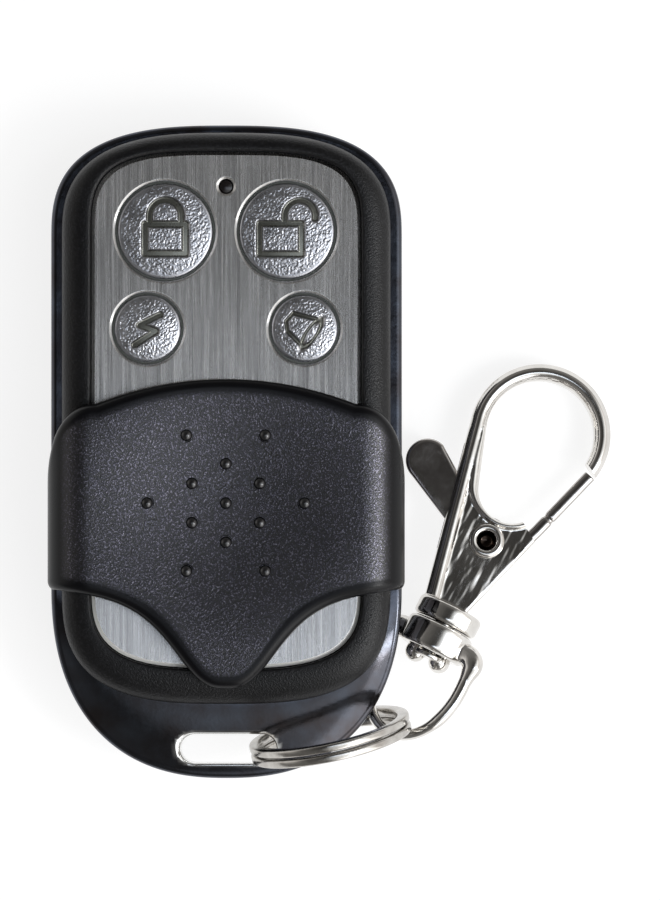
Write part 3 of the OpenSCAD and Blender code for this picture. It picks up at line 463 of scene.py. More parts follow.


# pale metal on the slot's lip is a painted highlight
chromeFinish = platedMetal("frame_chrome", dark=(0.056, 0.05, 0.052), light=(0.085, 0.096, 0.118),
                           rough=(0.12, 0.22), smudge=260, ripple=3000, strength=0.1, paintedLightShade=(0.85, 0.85, 0.84))
shellFinish = grainedPlastic("shell_grained_black", dark=(0.003, 0.003, 0.0035), light=(0.012, 0.012, 0.014),
                             rough=(0.3, 0.4), grain=0.2, strength=0.5, specular=0.3)
coverFinish = grainedPlastic("cover_grained_black", dark=(0.002, 0.002, 0.003), light=(0.28, 0.272, 0.325),
                             rough=(0.26, 0.34), grain=0.19, strength=0.42, specular=0.9, flake=1.0)
nubFinish = grainedPlastic("nub_black", dark=(0.002, 0.002, 0.003), light=(0.006, 0.006, 0.007),
                           rough=(0.2, 0.28), grain=0.19, strength=0.1, specular=0.9)
# its pale colour, not metal, paints a highlight on the plate's chamfers
plateFinish = brushedMetal("plate_brushed", dark=(0.35, 0.345, 0.34), light=(0.62, 0.61, 0.6),
                           rough=(0.2, 0.3), pitch=0.16, paintedLightShade=(0.9, 0.89, 0.85), highlightRough=0.3)
# its dark colour is painted shade in the sunk signs and on the cap's side and flange seen through the gap
# round each cap
buttonFinish = platedMetal("button_plated", dark=(0.40, 0.405, 0.43), light=(0.56, 0.565, 0.60),
                           rough=(0.25, 0.37), smudge=900, ripple=7500, strength=0.25, paintedLightShade=(0.2, 0.2, 0.175))
ringFinish = platedMetal("ring_steel", dark=(0.40, 0.38, 0.355), light=(0.58, 0.56, 0.53),
                         rough=(0.14, 0.28), smudge=700, ripple=2600, strength=0.1)
hookFinish = castNickel("hook_nickel", dark=(0.62, 0.60, 0.57), light=(0.80, 0.78, 0.75),
                        rough=(0.07, 0.16), along=-27)
leverFinish = platedMetal("lever_nickel", dark=(0.42, 0.40, 0.385), light=(0.60, 0.575, 0.555),
                          rough=(0.08, 0.18), smudge=350, ripple=700, strength=0.1)
# its near-black colour is painted shade in the rivet's hollow
rivetFinish = platedMetal("rivet_nickel", dark=(0.56, 0.54, 0.52), light=(0.74, 0.72, 0.69),
                          rough=(0.06, 0.16), smudge=500, ripple=900, strength=0.08,
                          paintedLightShade=(0.03, 0.022, 0.018))
guideFinish = smokedPlastic("guide_smoked", dark=(0.004, 0.003, 0.003), light=(0.012, 0.009, 0.009),
                            rough=0.18, scale=1500, specular=0.6)
innerLooks = {  # node: finish, dark, light, range of roughness, scale of the mottle, metal
    "case_screws": ("screw_zinc", (0.42, 0.43, 0.45), (0.62, 0.63, 0.65), (0.25, 0.42), 2500, 1.0),
    "resonator": ("can_zinc", (0.5, 0.5, 0.5), (0.66, 0.66, 0.66), (0.25, 0.4), 1500, 1.0),
    "circuit_board": ("board_green", (0.012, 0.09, 0.035), (0.03, 0.16, 0.06), (0.3, 0.45), 900),
    "switch_bodies": ("switch_black", (0.012, 0.012, 0.013), (0.03, 0.03, 0.03), (0.4, 0.6), 2000),
    "indicator_led": ("led_white", (0.62, 0.6, 0.52), (0.8, 0.78, 0.7), (0.3, 0.4), 2500),
    "encoder_chip": ("chip_black", (0.01, 0.01, 0.011), (0.025, 0.025, 0.026), (0.45, 0.6), 3000),
    "board_passives": ("passive_tan", (0.28, 0.2, 0.12), (0.42, 0.32, 0.2), (0.4, 0.55), 2500),
    "battery": ("cell_wrap", (0.38, 0.26, 0.06), (0.52, 0.38, 0.1), (0.25, 0.4), 500),
    "battery_spring": ("spring_steel", (0.5, 0.5, 0.5), (0.68, 0.68, 0.67), (0.2, 0.35), 2500, 1.0),
    "spring_plate": ("contact_nickel", (0.5, 0.47, 0.42), (0.66, 0.62, 0.55), (0.2, 0.36), 1500, 1.0),
}
innerTwins = {"transmit_transistor": "encoder_chip", "battery_contact": "spring_plate",
              "gate_spring": "battery_spring", **{n + "_plunger": "switch_bodies" for n in buttonNames}}
innerFinishes = {node: mottledPart(*look) for node, look in innerLooks.items()}
innerFinishes.update({twin: innerFinishes[first] for twin, first in innerTwins.items()})
for node, finish in innerFinishes.items():
    slots = frame["nodes"][node].data.materials
    slots.clear()
    slots.append(finish)
print("finishes made")

# Case outlines: [half width, top, low end, power of the top curve, power of the lower curve]
caseSizes = {"topStart": 19.6, "lowStart": -12.0, "endPoints": 121, "sidePoints": 44,
             "grooveTop": 19.2, "grooveLow": -11.9, "grooveEdge": 0.02, "seamGap": 0.05, "sliver": 0.001}
frameLow, frameHigh = nodeBox("chrome_frame")
plateLow, plateHigh = nodeBox("face_plate")
ledgeZ, frameZ = frameHigh[2], frameLow[2]
seamZ = (ledgeZ + frameZ) / 2                       # the two shells meet half way up the frame
caseOutline = np.array([frameHigh[0], frameHigh[1], frameLow[1], 2.8, 2.4])
openingOutline = np.array([caseOutline[0] - 1.5, caseOutline[1] - 1.2, caseOutline[2] + 7.4, 2.8, 3.0])
plateOutline = np.array([plateHigh[0], plateHigh[1], plateLow[1], 3.5, 3.2])


def grown(o, d):
    return o + np.array([d, d, -d, 0, 0])


def endCurve(o, t):
    # superellipse ends: x = half * cos^(2/n), y = start + reach * sin^(2/n)
    up = t <= pi
    e = np.where(up, 2 / o[3], 2 / o[4])
    reach = np.where(up, o[1] - caseSizes["topStart"], caseSizes["lowStart"] - o[2])
    start = np.where(up, caseSizes["topStart"], caseSizes["lowStart"])
    x = o[0] * np.sign(np.cos(t)) * np.abs(np.cos(t)) ** e
    return np.stack([x, start + reach * np.sign(np.sin(t)) * np.abs(np.sin(t)) ** e], 1)


def evenAngles(low):
    # angles that space the points of the case's own end evenly
    t = np.linspace(0, pi, 6001) + (pi + 1e-9 if low else 0)
    run = runAlong(endCurve(caseOutline, t))
    return np.interp(np.linspace(0, run[-1], caseSizes["endPoints"]), run, t)


topAngles, lowAngles = evenAngles(False), evenAngles(True)
grooveEnds = np.array([-1, 1]) * caseSizes["grooveEdge"]
sideYs = np.linspace(caseSizes["lowStart"], caseSizes["topStart"], caseSizes["sidePoints"])[1:-1]
sideYs = np.sort(np.concatenate([sideYs, caseSizes["grooveTop"] + grooveEnds,
                                 caseSizes["grooveLow"] + grooveEnds]))


def ringOf(o):
    # anticlockwise from the right: top end, left side down, lower end, right side up
    left = np.stack([np.full(len(sideYs), -o[0]), sideYs[::-1]], 1)
    right = np.stack([np.full(len(sideYs), o[0]), sideYs], 1)
    return np.concatenate([endCurve(o, topAngles), left, endCurve(o, lowAngles), right])


# Chrome frame: a lofted band whose chin slopes down to the rim, with a round-lipped key slot
frameSizes = {"edge": 0.5, "bevel": 1.2, "bevelRise": 1.56, "chinDrop": 1.5, "chinPower": 1.6, "topRings": 34,
              "slotMiddle": (0.225, -27.25), "slotHalf": (4.375, 1.35), "lip": 0.32, "flare": 0.9,
              "flarePower": 1.5, "paintedLightShade": (0.35, 0.95)}
slotStraight = frameSizes["slotHalf"][0] - frameSizes["slotHalf"][1]


def chinFall(y):
    # smooth step from nothing at the straight side to the full drop at the rim
    return frameSizes["chinDrop"] * softStep(-y, -caseSizes["lowStart"], -caseOutline[2])


def slotFlare(leftward):
    # width of the slot's rounded lip, most where its wall faces its left end
    s = frameSizes
    return s["lip"] + (s["flare"] - s["lip"]) * np.clip(leftward, 0, 1) ** s["flarePower"]


def makeFrame():
    s = frameSizes
    hole = ringOf(openingOutline)
    edgeRing = ringOf(grown(caseOutline, -s["edge"]))
    rings = [atHeight(hole, frameZ)]
    for a in quarter(10):                           # lower bevel, a quarter ellipse
        rings.append(atHeight(ringOf(grown(caseOutline, -s["bevel"] * (1 - np.sin(a)))),
                              frameZ + s["bevelRise"] * (1 - np.cos(a))))
    for a in quarter(8):                            # upper edge, a quarter circle
        ring = ringOf(grown(caseOutline, -s["edge"] * (1 - np.cos(a))))
        rings.append(atHeight(ring, ledgeZ - chinFall(ring[:, 1]) - s["edge"] * (1 - np.sin(a))))
    for f in np.linspace(1, 0, s["topRings"])[1:]:  # top face, falling with f to the chin's power
        rings.append(atHeight(hole + (edgeRing - hole) * f,
                              ledgeZ - chinFall(edgeRing[:, 1]) * f ** s["chinPower"]))
    skin = Skin()
    skin.grid(np.array(rings), wrapRows=True, wrapCols=True)
    return pieceFrom("chrome_frame_shell", skin)


def makeSlotCutter():
    # a round-ended slot carried up through the chin, flaring at both mouths over a quarter ellipse
    s = frameSizes
    past, graze = 0.4, 0.01                         # how far the cutter stands out of the faces
    reach = openingOutline[2] - (caseOutline[2] + s["edge"])
    out = headings(np.concatenate([np.linspace(-pi / 2, pi / 2, 40), np.linspace(pi / 2, 1.5 * pi, 40)]))
    inner = (np.repeat([[slotStraight, 0], [-slotStraight, 0]], 40, 0) + s["slotHalf"][1] * out
             + s["slotMiddle"])
    wide = slotFlare(-out[:, 0])
    rings = []

    def mouth(t, over, top):
        p = inner + out * (wide * (1 - np.cos(t)))[:, None]
        f = np.clip((openingOutline[2] - p[:, 1]) / reach, 0, 1)
        depth = wide * (1 - np.sin(t)) - over
        topZ = ledgeZ - s["chinDrop"] * f ** s["chinPower"]
        rings.append(atHeight(p, topZ - depth if top else frameZ + depth))

    mouth(pi / 2, past, False)
    for t in quarter(9)[::-1]:
        mouth(t, graze, False)
    for t in quarter(9):
        mouth(t, graze, True)
    mouth(pi / 2, past, True)
    skin = Skin()
    skin.capEnds(skin.grid(np.array(rings), wrapCols=True))
    return pieceFrom("slot_cutter", skin)


def paintLipHighlight(piece):
    # the slot's lip carries a painted highlight in pale metal: weight rises from the slot's wall to the outer
    # edge of its flare
    s = frameSizes
    p = pointsOf(piece)[:, :2] / mm - s["slotMiddle"]
    p[:, 0] -= np.clip(p[:, 0], -slotStraight, slotStraight)
    far = np.maximum(np.hypot(*p.T), 1e-6)
    wide = slotFlare(-p[:, 0] / far)
    setGrain(piece, softStep(far - s["slotHalf"][1], s["paintedLightShade"][0] * wide, s["paintedLightShade"][1] * wide))


chromeFrame = makeFrame()
cutBy(chromeFrame, makeSlotCutter())
paintLipHighlight(chromeFrame)
finishPiece(chromeFrame, chromeFinish, "fob", ["chrome_frame"], 32)

# Front shell: bezel with a rounded shoulder, cover grooves in its sides and a seat for the plate
shellSizes = {"lip": 0.45, "upright": 1.1, "crestRise": 0.6, "crestRound": 0.22, "pocketFit": 0.1,
              "grooveZ": (0.3, 1.1), "grooveIn": 0.7, "seatIn": 1.2, "lipWall": 1.0, "floor": 0.8}


def makeFrontShell():
    # rings from the ledge up the side, over the shoulder and the crest, into the pocket and round inside
    s = shellSizes
    outer = ringOf(grown(openingOutline, s["lip"]))
    pocket = ringOf(grown(plateOutline, s["pocketFit"]))
    crest = ringOf(grown(plateOutline, s["pocketFit"] + s["crestRound"]))
    seatZ, crestZ = plateLow[2], plateHigh[2] + s["crestRise"]
    sideZ = ledgeZ + s["upright"]
    onSide = np.abs(np.abs(outer[:, 0]) - outer[:, 0].max()) < 1e-6
    inGroove = onSide & (outer[:, 1] < caseSizes["grooveTop"]) & (outer[:, 1] > caseSizes["grooveLow"])
    deep = outer - np.column_stack([np.sign(outer[:, 0]) * s["grooveIn"] * inGroove, np.zeros(len(outer))])
    low, high = ledgeZ + s["grooveZ"][0], ledgeZ + s["grooveZ"][1]
    rings = [atHeight(outer, ledgeZ), atHeight(outer, low), atHeight(deep, low + caseSizes["sliver"]),
             atHeight(deep, high - caseSizes["sliver"]), atHeight(outer, high)]
    for a in quarter(14):                           # shoulder, a quarter ellipse from the side to the crest
        rings.append(atHeight(outer + (crest - outer) * (1 - np.cos(a)),
                              sideZ + (crestZ - sideZ) * np.sin(a)))
    for a in quarter(5)[1:]:                        # crest rolls into the plate's pocket
        rings.append(atHeight(crest + (pocket - crest) * np.sin(a),
                              crestZ - s["crestRound"] * (1 - np.cos(a))))
    inside = ringOf(grown(plateOutline, -s["seatIn"]))
    cavity = ringOf(grown(openingOutline, -s["pocketFit"] - s["lipWall"]))
    tongue = ringOf(grown(openingOutline, -s["pocketFit"]))
    tongueZ = seamZ + caseSizes["seamGap"]
    rings += [atHeight(pocket, seatZ), atHeight(inside, seatZ), atHeight(inside, seatZ - s["floor"]),
              atHeight(cavity, seatZ - s["floor"]), atHeight(cavity, tongueZ), atHeight(tongue, tongueZ),
              atHeight(tongue, ledgeZ)]
    skin = Skin()
    skin.grid(np.array(rings), wrapRows=True, wrapCols=True)
    return pieceFrom("front_shell_bezel", skin)


finishPiece(makeFrontShell(), shellFinish, "fob", ["front_shell"], 40)

# Rear shell: rounded tray with four screw pockets
rearSizes = {"keep": 0.04, "step": 0.7, "round": 1.4, "wall": 1.4, "floor": 1.0, "fit": 0.1,
             "pocketR": 1.4, "pocketDepth": 1.6, "pocketLip": 0.15, "screwHead": 1.3, "lowScrewX": 9.8}


def makeRearShell():
    # rings from the flat back over a quarter ellipse to the frame, up the tongue and down the inner wall
    s = rearSizes
    rear = grown(openingOutline, -s["step"])
    rings = [atHeight(ringOf(grown(rear, -s["round"] - s["keep"])), 0)]     # keeps the back's shading flat
    for a in quarter(14):
        rings.append(atHeight(ringOf(grown(rear, -s["round"] * (1 - np.sin(a)))), frameZ * (1 - np.cos(a))))
    tongue, inner = ringOf(grown(openingOutline, -s["fit"])), ringOf(grown(rear, -s["wall"]))
    lipZ = seamZ - caseSizes["seamGap"]
    rings += [atHeight(tongue, frameZ - caseSizes["sliver"]), atHeight(tongue, lipZ), atHeight(inner, lipZ),
              atHeight(inner, s["floor"])]
    skin = Skin()
    skin.capEnds(skin.grid(np.array(rings), wrapCols=True))
    return pieceFrom("rear_shell_tray", skin)


def makeScrewPockets():
    # stepped drums that cut the pockets and their chamfered mouths
    s = rearSizes
    screwLow, screwHigh = nodeBox("case_screws")
    r, lip = s["pocketR"], s["pocketLip"]
    profile = [(0, -0.3), (r + lip, -0.3), (r + lip, -0.01), (r + lip * 0.3, lip * 0.3), (r, lip),
               (r, s["pocketDepth"]), (0, s["pocketDepth"])]
    rows = [(screwHigh[0] - s["screwHead"], screwHigh[1] - s["screwHead"]),
            (s["lowScrewX"], screwLow[1] + s["screwHead"])]
    skin = Skin()
    for x, y in rows:
        for side in (-1, 1):
            revolved(skin, profile, 48, at=(side * x, y, 0))
    return pieceFrom("pocket_cutter", skin)


rearShell = makeRearShell()
cutBy(rearShell, makeScrewPockets())
setGrain(rearShell, np.ones(len(rearShell.data.vertices)))
finishPiece(rearShell, shellFinish, "fob", ["rear_shell"], 15)

# Face plate: flat sheet with chamfers round its edge and holes, painted pale as a highlight
plateSizes = {"chamfer": 0.3, "holeChamfer": 0.2, "steep": 0.7, "keep": 0.03, "fit": 0.15, "guideHole": 0.7,
              "guideY": 24.3, "holePoints": 120, "brushed": 0.8, "bright": (-13, -8)}
buttonFlange = 0.6                                  # the flange under the plate is wider than the cap
buttonBoxes = {n: nodeBox(n + "_button") for n in buttonNames}
buttonPlaces = {n: (b[0] + b[1])[:2] / 2 for n, b in buttonBoxes.items()}
buttonRadii = {n: (b[1] - b[0])[0] / 2 - buttonFlange for n, b in buttonBoxes.items()}


def makePlate():
    s = plateSizes
    low, top = plateLow[2], plateHigh[2]
    skin = Skin()
    under, over = [], []

    def chamfered(ringAt, c, weight):
        # wall, chamfer and a narrow flat; ringAt(d) is the outline moved d into the sheet
        rings = [atHeight(ringAt(0), low), atHeight(ringAt(0), top - s["steep"] * c),
                 atHeight(ringAt(c), top), atHeight(ringAt(c + s["keep"]), top)]
        # weight below one paints the wall and chamfer pale, as a highlight; the flat keeps one
        weights = np.concatenate([np.tile(weight, 3), np.ones(len(weight))])
        ids = skin.grid(np.array(rings), wrapCols=True, weight=weights)
        under.append(ids[0])
        over.append(ids[-1])

    # painted highlight on the chamfers: full at the plate's lower end, a fifth of it on the rest of the edge
    # and round the holes
    wearAndHighlight = softStep(ringOf(plateOutline)[:, 1], *s["bright"]) * s["brushed"]   # bright at its lower end only
    chamfered(lambda d: ringOf(grown(plateOutline, -d)), s["chamfer"], wearAndHighlight)
    holes = [(buttonPlaces[n], buttonRadii[n] + s["fit"]) for n in buttonNames]
    holes.append((np.array([0, s["guideY"]]), s["guideHole"]))
    circle = headings(fullTurn(s["holePoints"]))
    for middle, r in holes:
        chamfered(lambda d: middle + circle * (r + d), s["holeChamfer"], np.full(len(circle), s["brushed"]))
    skin.fill(over)
    skin.fill(under)
    plate = pieceFrom("face_plate_brushed", skin)
    across = plate.data.uv_layers.new(name="across")    # u runs across the scratches, v along them
    corners = np.empty(len(plate.data.loops), int)
    plate.data.loops.foreach_get("vertex_index", corners)
    across.data.foreach_set("uv", (pointsOf(plate)[corners, :2] / mm * 0.01 + 0.5).ravel())
    return plate


finishPiece(makePlate(), plateFinish, "fob", ["face_plate"], 18)

# Light guide: a rod on a foot; its tip is given as (radius, depth under the top)
guideSizes = {"footR": 1.2, "footH": 0.7, "rodR": 0.65,
              "tip": [(0.65, 0.2), (0.55, 0.06), (0.3, 0.01), (0, 0)]}


def makeGuide():
    s = guideSizes
    low, high = (corner[2] for corner in nodeBox("light_guide"))
    foot = [(0, low), (s["footR"], low), (s["footR"], low + s["footH"]), (s["rodR"], low + s["footH"])]
    skin = Skin()
    revolved(skin, foot + [(r, high - d) for r, d in s["tip"]], 48, at=(0, plateSizes["guideY"], 0))
    return pieceFrom("light_guide_rod", skin)


finishPiece(makeGuide(), guideFinish, "fob", ["light_guide"])
print("case made")


# Button caps: domed, stippled, with a smooth sunk sign
def latticeNoise(x, y, cell, seed):
    # random heights on a square lattice, blended smoothly between its points
    table = np.random.default_rng(seed).random((97, 97))
    u, v = x / cell + 40, y / cell + 40
    i, j = np.floor(u).astype(int), np.floor(v).astype(int)
    f, g = softStep(u - i, 0, 1), softStep(v - j, 0, 1)
    a, b, c, d = table[i, j], table[i + 1, j], table[i, j + 1], table[i + 1, j + 1]
    return (a * (1 - f) + b * f) * (1 - g) + (c * (1 - f) + d * f) * g


def toLine(x, y, points):
    # distance to a chain of straight strokes
    best = np.full(x.shape, 99.0)
    for (x0, y0), (x1, y1) in zip(points, points[1:]):
        dx, dy = x1 - x0, y1 - y0
        t = np.clip(((x - x0) * dx + (y - y0) * dy) / (dx * dx + dy * dy), 0, 1)
        best = np.minimum(best, np.hypot(x - x0 - t * dx, y - y0 - t * dy))
    return best


def toArc(x, y, middle, r, a0, a1):
    # distance to an arc from a0 to a1 degrees
    return toLine(x, y, arcPoints(middle, r, a0, a1, 25).tolist())


# Signs: distance outside the stroke, negative inside it
def padlockShut(x, y):
    body = toLine(x, y, [(-1.85, 0.62), (1.85, 0.62), (1.85, -2.05), (-1.85, -2.05), (-1.85, 0.62)])
    bow = np.minimum(toArc(x, y, (0.02, 1.4), 1.45, 0, 180), toLine(x, y, [(-1.43, 1.4), (-1.43, 0.7)]))
    bow = np.minimum(bow, toLine(x, y, [(1.47, 1.4), (1.47, 0.7)]))
    return np.minimum(body - 0.32, bow - 0.3)


def padlockOpen(x, y):
    body = toLine(x, y, [(-2.5, 0.68), (1.32, 0.68), (1.32, -2.1), (-2.5, -2.1), (-2.5, 0.68)])
    bow = np.minimum(toArc(x, y, (1.2, 1.4), 1.4, -10, 180), toLine(x, y, [(-0.2, 1.4), (-0.2, 0.7)]))
    return np.minimum(body - 0.29, bow - 0.29)


def lightning(x, y):
    return toLine(x, y, [(1.15, 1.25), (-0.75, 0.3), (0.75, -0.25), (-1.2, -1.5)]) - 0.3


def horn(x, y):
    # an open bell, and an ellipse turned to close its mouth
    x, y = (x + 0.15) / 0.92, y / 0.92
    bell = toLine(x, y, [(1.75, 0.8), (-0.95, 1.5), (-1.65, 0.7), (-1.5, -0.3), (0.0, -1.8)])
    c, s = headings(np.radians(55.8))
    u, v = (x - 0.87) * c + (y + 0.5) * s, -(x - 0.87) * s + (y + 0.5) * c
    mouth = np.abs(np.hypot(u / 1.58, v / 0.5) - 1) * 0.62
    return np.minimum(bell - 0.2, mouth - 0.17)


buttonSizes = {"dome": 0.36, "edgeUp": 0.08, "rimRound": 0.22, "rimWidth": 0.3, "rimFade": (-0.15, 0.1),
               "stipple": 0.078, "cells": (0.15, 0.1), "sunk": 0.24, "slope": 0.28, "signShade": (-0.04, 0.1),
               "shy": 0.1, "rings": 130, "steps": 420, "flangeT": 0.75}
signs = {"lock": padlockShut, "unlock": padlockOpen, "flash": lightning, "siren": horn}


def makeButton(name, seed):
    # dome of a sphere, rolled over at the rim, minus the sunk sign, plus stipple away from rim and sign
    s = buttonSizes
    r0 = buttonRadii[name] - s["shy"]               # a little inside its hole, so that the gap reads dark
    edgeZ = plateHigh[2] + s["edgeUp"]
    ball = (r0 ** 2 + s["dome"] ** 2) / (2 * s["dome"])
    r = np.linspace(r0 / s["rings"], r0, s["rings"])[:, None]
    a = fullTurn(s["steps"])
    x, y = r * np.cos(a), r * np.sin(a)
    z = edgeZ + s["dome"] - ball + np.sqrt(ball ** 2 - r ** 2) + 0 * x
    over = np.clip(r - (r0 - s["rimRound"]), 0, None)
    z -= s["rimRound"] - np.sqrt(np.clip(s["rimRound"] ** 2 - over ** 2, 0, None))
    gap = signs[name](x, y)
    sunk = softStep(-gap, -s["slope"] / 2, s["slope"] / 2)
    field = (1 - sunk) * (1 - softStep(r, *(r0 - s["rimWidth"] + np.array(s["rimFade"]))))
    coarse, fine = s["cells"]
    noise = 0.6 * latticeNoise(x, y, coarse, seed) + 0.4 * latticeNoise(x, y, fine, seed + 1) - 0.5
    z += s["stipple"] * noise * field - s["sunk"] * sunk
    flange = buttonRadii[name] + buttonFlange
    lowZ = buttonBoxes[name][0][2]
    topZ = lowZ + s["flangeT"]
    rows = [np.stack([x, y, z], -1)]
    for radius, height in ((r0, topZ), (flange, topZ), (flange, lowZ)):
        rows.append(atHeight(headings(a) * radius, height)[None])
    # weight nought paints shade: the sunk sign, the cap's side below the rim and its flange take the dark
    # colour
    weight = np.concatenate([(1 - softStep(-gap, *s["signShade"])).ravel(), np.zeros(3 * s["steps"])])
    skin = Skin()
    ids = skin.grid(np.concatenate(rows), wrapCols=True, weight=weight)
    skin.fan(ids[0], (0, 0, z[0].mean()), weight[:s["steps"]].mean())
    skin.fan(ids[-1], (0, 0, lowZ))
    cap = pieceFrom(name + "_cap", skin, (np.eye(3), np.array([*buttonPlaces[name], 0])))
    finishPiece(cap, buttonFinish, name, [name + "_button"], 60)


for i, buttonName in enumerate(buttonNames):
    makeButton(buttonName, 11 + 5 * i)

# Slide cover: an arch across the case, cut to a shield outline, with a thumb dish and grip nubs
coverSizes = {"top": 12.75, "skirt": 8.4, "archZ": 9.5, "round": 4.0, "thick": 1.5, "wall": 1.1,
              "innerRound": 2.75, "edge": 0.8, "topEdge": 6.66, "arc": 31.5, "corner": 4.6, "cornerLean": 0.6,
              "sideLow": -12.1, "nose": 9.45, "noseHalf": 5.7, "nosePower": 2.8, "smooth": (0.15, 0.75),
              "sideFade": (2.4, 1.1), "dishDepth": 0.95, "dishR": 14, "dishFade": (11.6, 12.4),
              "nubY": -4.64, "nubR": 0.58, "nubH": 0.34, "nubBall": 1.06, "nubFoot": (0.1, 0.02, 0.3),
              "lip": (15.05, 0.55, 8.6, 9.2, 11.2), "lipPlay": 0.2}
coverHalf = nodeBox("slide_cover")[1][0]


def upperEdge(x):
    # shallow arc whose ends roll into the sides over an ellipse
    s = coverSizes

    def arcY(at):
        return s["topEdge"] - s["arc"] + np.sqrt(s["arc"] ** 2 - at ** 2)

    start = coverHalf - s["corner"]
    drop = arcY(start + s["cornerLean"]) - s["corner"]
    f = np.clip((np.abs(x) - start) / s["corner"], 0, 1)
    corner = drop + (arcY(start) - drop) * np.sqrt(np.clip(1 - f * f, 0, 1))
    return np.where(np.abs(x) > start, corner, arcY(x))


def lowerEdge(x):
    # a bell curve below the side corners makes the nose
    s = coverSizes
    return s["sideLow"] - s["nose"] / (1 + (np.abs(x) / s["noseHalf"]) ** s["nosePower"])


def dishDrop(x, y):
    # a shallow bowl pressed into the top: depth times (1 - (distance / radius) squared) squared
    s = coverSizes
    far = (x ** 2 + (y - s["nubY"]) ** 2) / s["dishR"] ** 2
    return s["dishDepth"] * np.clip(1 - far, 0, None) ** 2


def archCurve(half, top, bendR, flatCount=75):
    # half arch from the skirt up the side, over a quarter ellipse, to the middle; then its mirror image
    low = coverSizes["archZ"]
    t = quarter(26)
    side = np.stack([np.full(6, half), np.linspace(coverSizes["skirt"], low, 6)], 1)[:-1]
    bend = np.stack([half - bendR * (1 - np.cos(t)), low + (top - low) * np.sin(t)], 1)
    flat = np.stack([np.linspace(half - bendR, 0, flatCount), np.full(flatCount, top)], 1)[1:]
    right = np.concatenate([side, bend, flat])
    return np.concatenate([right, right[-2::-1] * [-1, 1]])


def makeCover():
    # one loop along the case for each place across it: lower edge, top, upper edge, and back under the arch
    s = coverSizes
    outer = archCurve(coverHalf, s["top"], s["round"])
    inner = archCurve(coverHalf - s["wall"], s["top"] - s["thick"], s["innerRound"])
    x = outer[:, 0]
    high, low = upperEdge(np.clip(x, -coverHalf, coverHalf)), lowerEdge(x)
    step = 0.01                                     # for the edges' slopes
    leanHigh = np.sqrt(1 + np.clip((upperEdge(x + step * np.sign(-x)) - high) / step, -3, 3) ** 2)
    leanLow = np.sqrt(1 + ((lowerEdge(x + step) - low) / step) ** 2)
    near = s["edge"] + np.array([0.25, 0.6, 1.1, 1.8])
    lowIn, highIn = low + near[-1] * leanLow, high - near[-1] * leanHigh
    rim = [(s["edge"] * (1 - np.cos(a)), s["edge"] * (1 - np.sin(a))) for a in quarter(9)]
    rim += [(n, 0) for n in near]                   # (distance from the edge inwards, depth under the face)
    loop = []                                       # (y, share of the thickness, grain)
    for dist, down in rim:
        loop.append((low + dist * leanLow, down / s["thick"], softStep(dist - s["edge"], *s["smooth"])))
    for f in np.linspace(0, 1, 70)[1:-1]:
        loop.append((lowIn + (highIn - lowIn) * f, 0, 1))
    for dist, down in rim[::-1]:
        loop.append((high - dist * leanHigh, down / s["thick"], softStep(dist - s["edge"], *s["smooth"])))
    loop += [(v, 1, 0) for v in (high, high - (high - low) * 0.02, low + (high - low) * 0.02, low)]
    y = np.array([row[0] for row in loop])          # loop x arch
    q, grain = (np.array([row[k] for row in loop], float)[:, None] for k in (1, 2))
    px = outer[:, 0] * (1 - q) + inner[:, 0] * q
    pz = outer[:, 1] * (1 - q) + inner[:, 1] * q
    pz = pz - dishDrop(px, y) * (1 - q) * softStep(pz, *s["dishFade"])
    weight = grain * (1 - softStep(np.abs(px), *(coverHalf - np.array(s["sideFade"]))))
    skin = Skin()
    ids = skin.grid(np.stack([px, y, pz], -1), wrapRows=True, weight=weight)
    skin.capEnds(ids.T)
    lipX, lipIn, lipLow, lipHigh, lipLong = s["lip"]
    start, end = caseSizes["grooveLow"] + s["lipPlay"], s["sideLow"] + lipLong
    ring = np.array([[start, lipLow], [end, lipLow], [end, lipHigh], [start, lipHigh]])
    for side in (-1, 1):                            # guide lips that run in the shell's grooves
        walls = [np.column_stack([np.full(4, side * v), ring]) for v in (lipX - lipIn, lipX + 0.5)]
        skin.capEnds(skin.grid(np.stack(walls), wrapCols=True))
    return pieceFrom("slide_cover_shell", skin)


def makeNubs():
    # small domes, part of a sphere, on the dish
    s = coverSizes
    skin = Skin()
    places = [(0, 0), (7.2, 0), (-7.2, 0), (0, 3.6), (0, -3.6)]
    places += [(sx * px, sy * py) for sx in (-1, 1) for sy in (-1, 1) for px, py in ((3.1, 1.8), (3.6, 6.2))]
    ball = s["nubR"] * s["nubBall"]
    a = np.linspace(0, np.arcsin(s["nubR"] / ball), 10)
    footOut, footDrop, root = s["nubFoot"]
    footR = s["nubR"] + footOut
    weight = [*(1 - softStep(a, 0.5, 0.95)), 0, 0, 0]
    for px, py in places:
        baseZ = s["top"] - float(dishDrop(np.array(px), np.array(s["nubY"] + py)))
        dome = np.stack([ball * np.sin(a), baseZ + s["nubH"] - ball * (1 - np.cos(a))], 1).tolist()
        revolved(skin, dome + [(footR, baseZ - footDrop), (footR, baseZ - root), (0, baseZ - root)], 28,
                 weight=weight, at=(px, s["nubY"] + py, 0))
    return pieceFrom("cover_grip_nubs", skin)


finishPiece(makeCover(), coverFinish, "cover", ["slide_cover"], 42)
finishPiece(makeNubs(), nubFinish, "cover", [], 50)
print("buttons and cover made")

# Split ring: two turns of one flat wire, with the step between them at the wire's ends
ringSizes = {"outer": 15.0, "radial": 1.1, "turn": 0.8, "axial": 1.74, "lean": 81, "yaw": 12, "start": -110,
             "from": 21, "to": 699, "stepFrom": 342, "stepTo": 378, "every": 2.5, "taper": (5, 0.25),
             "middle": (9.52682, -26.1278, 7.59376)}


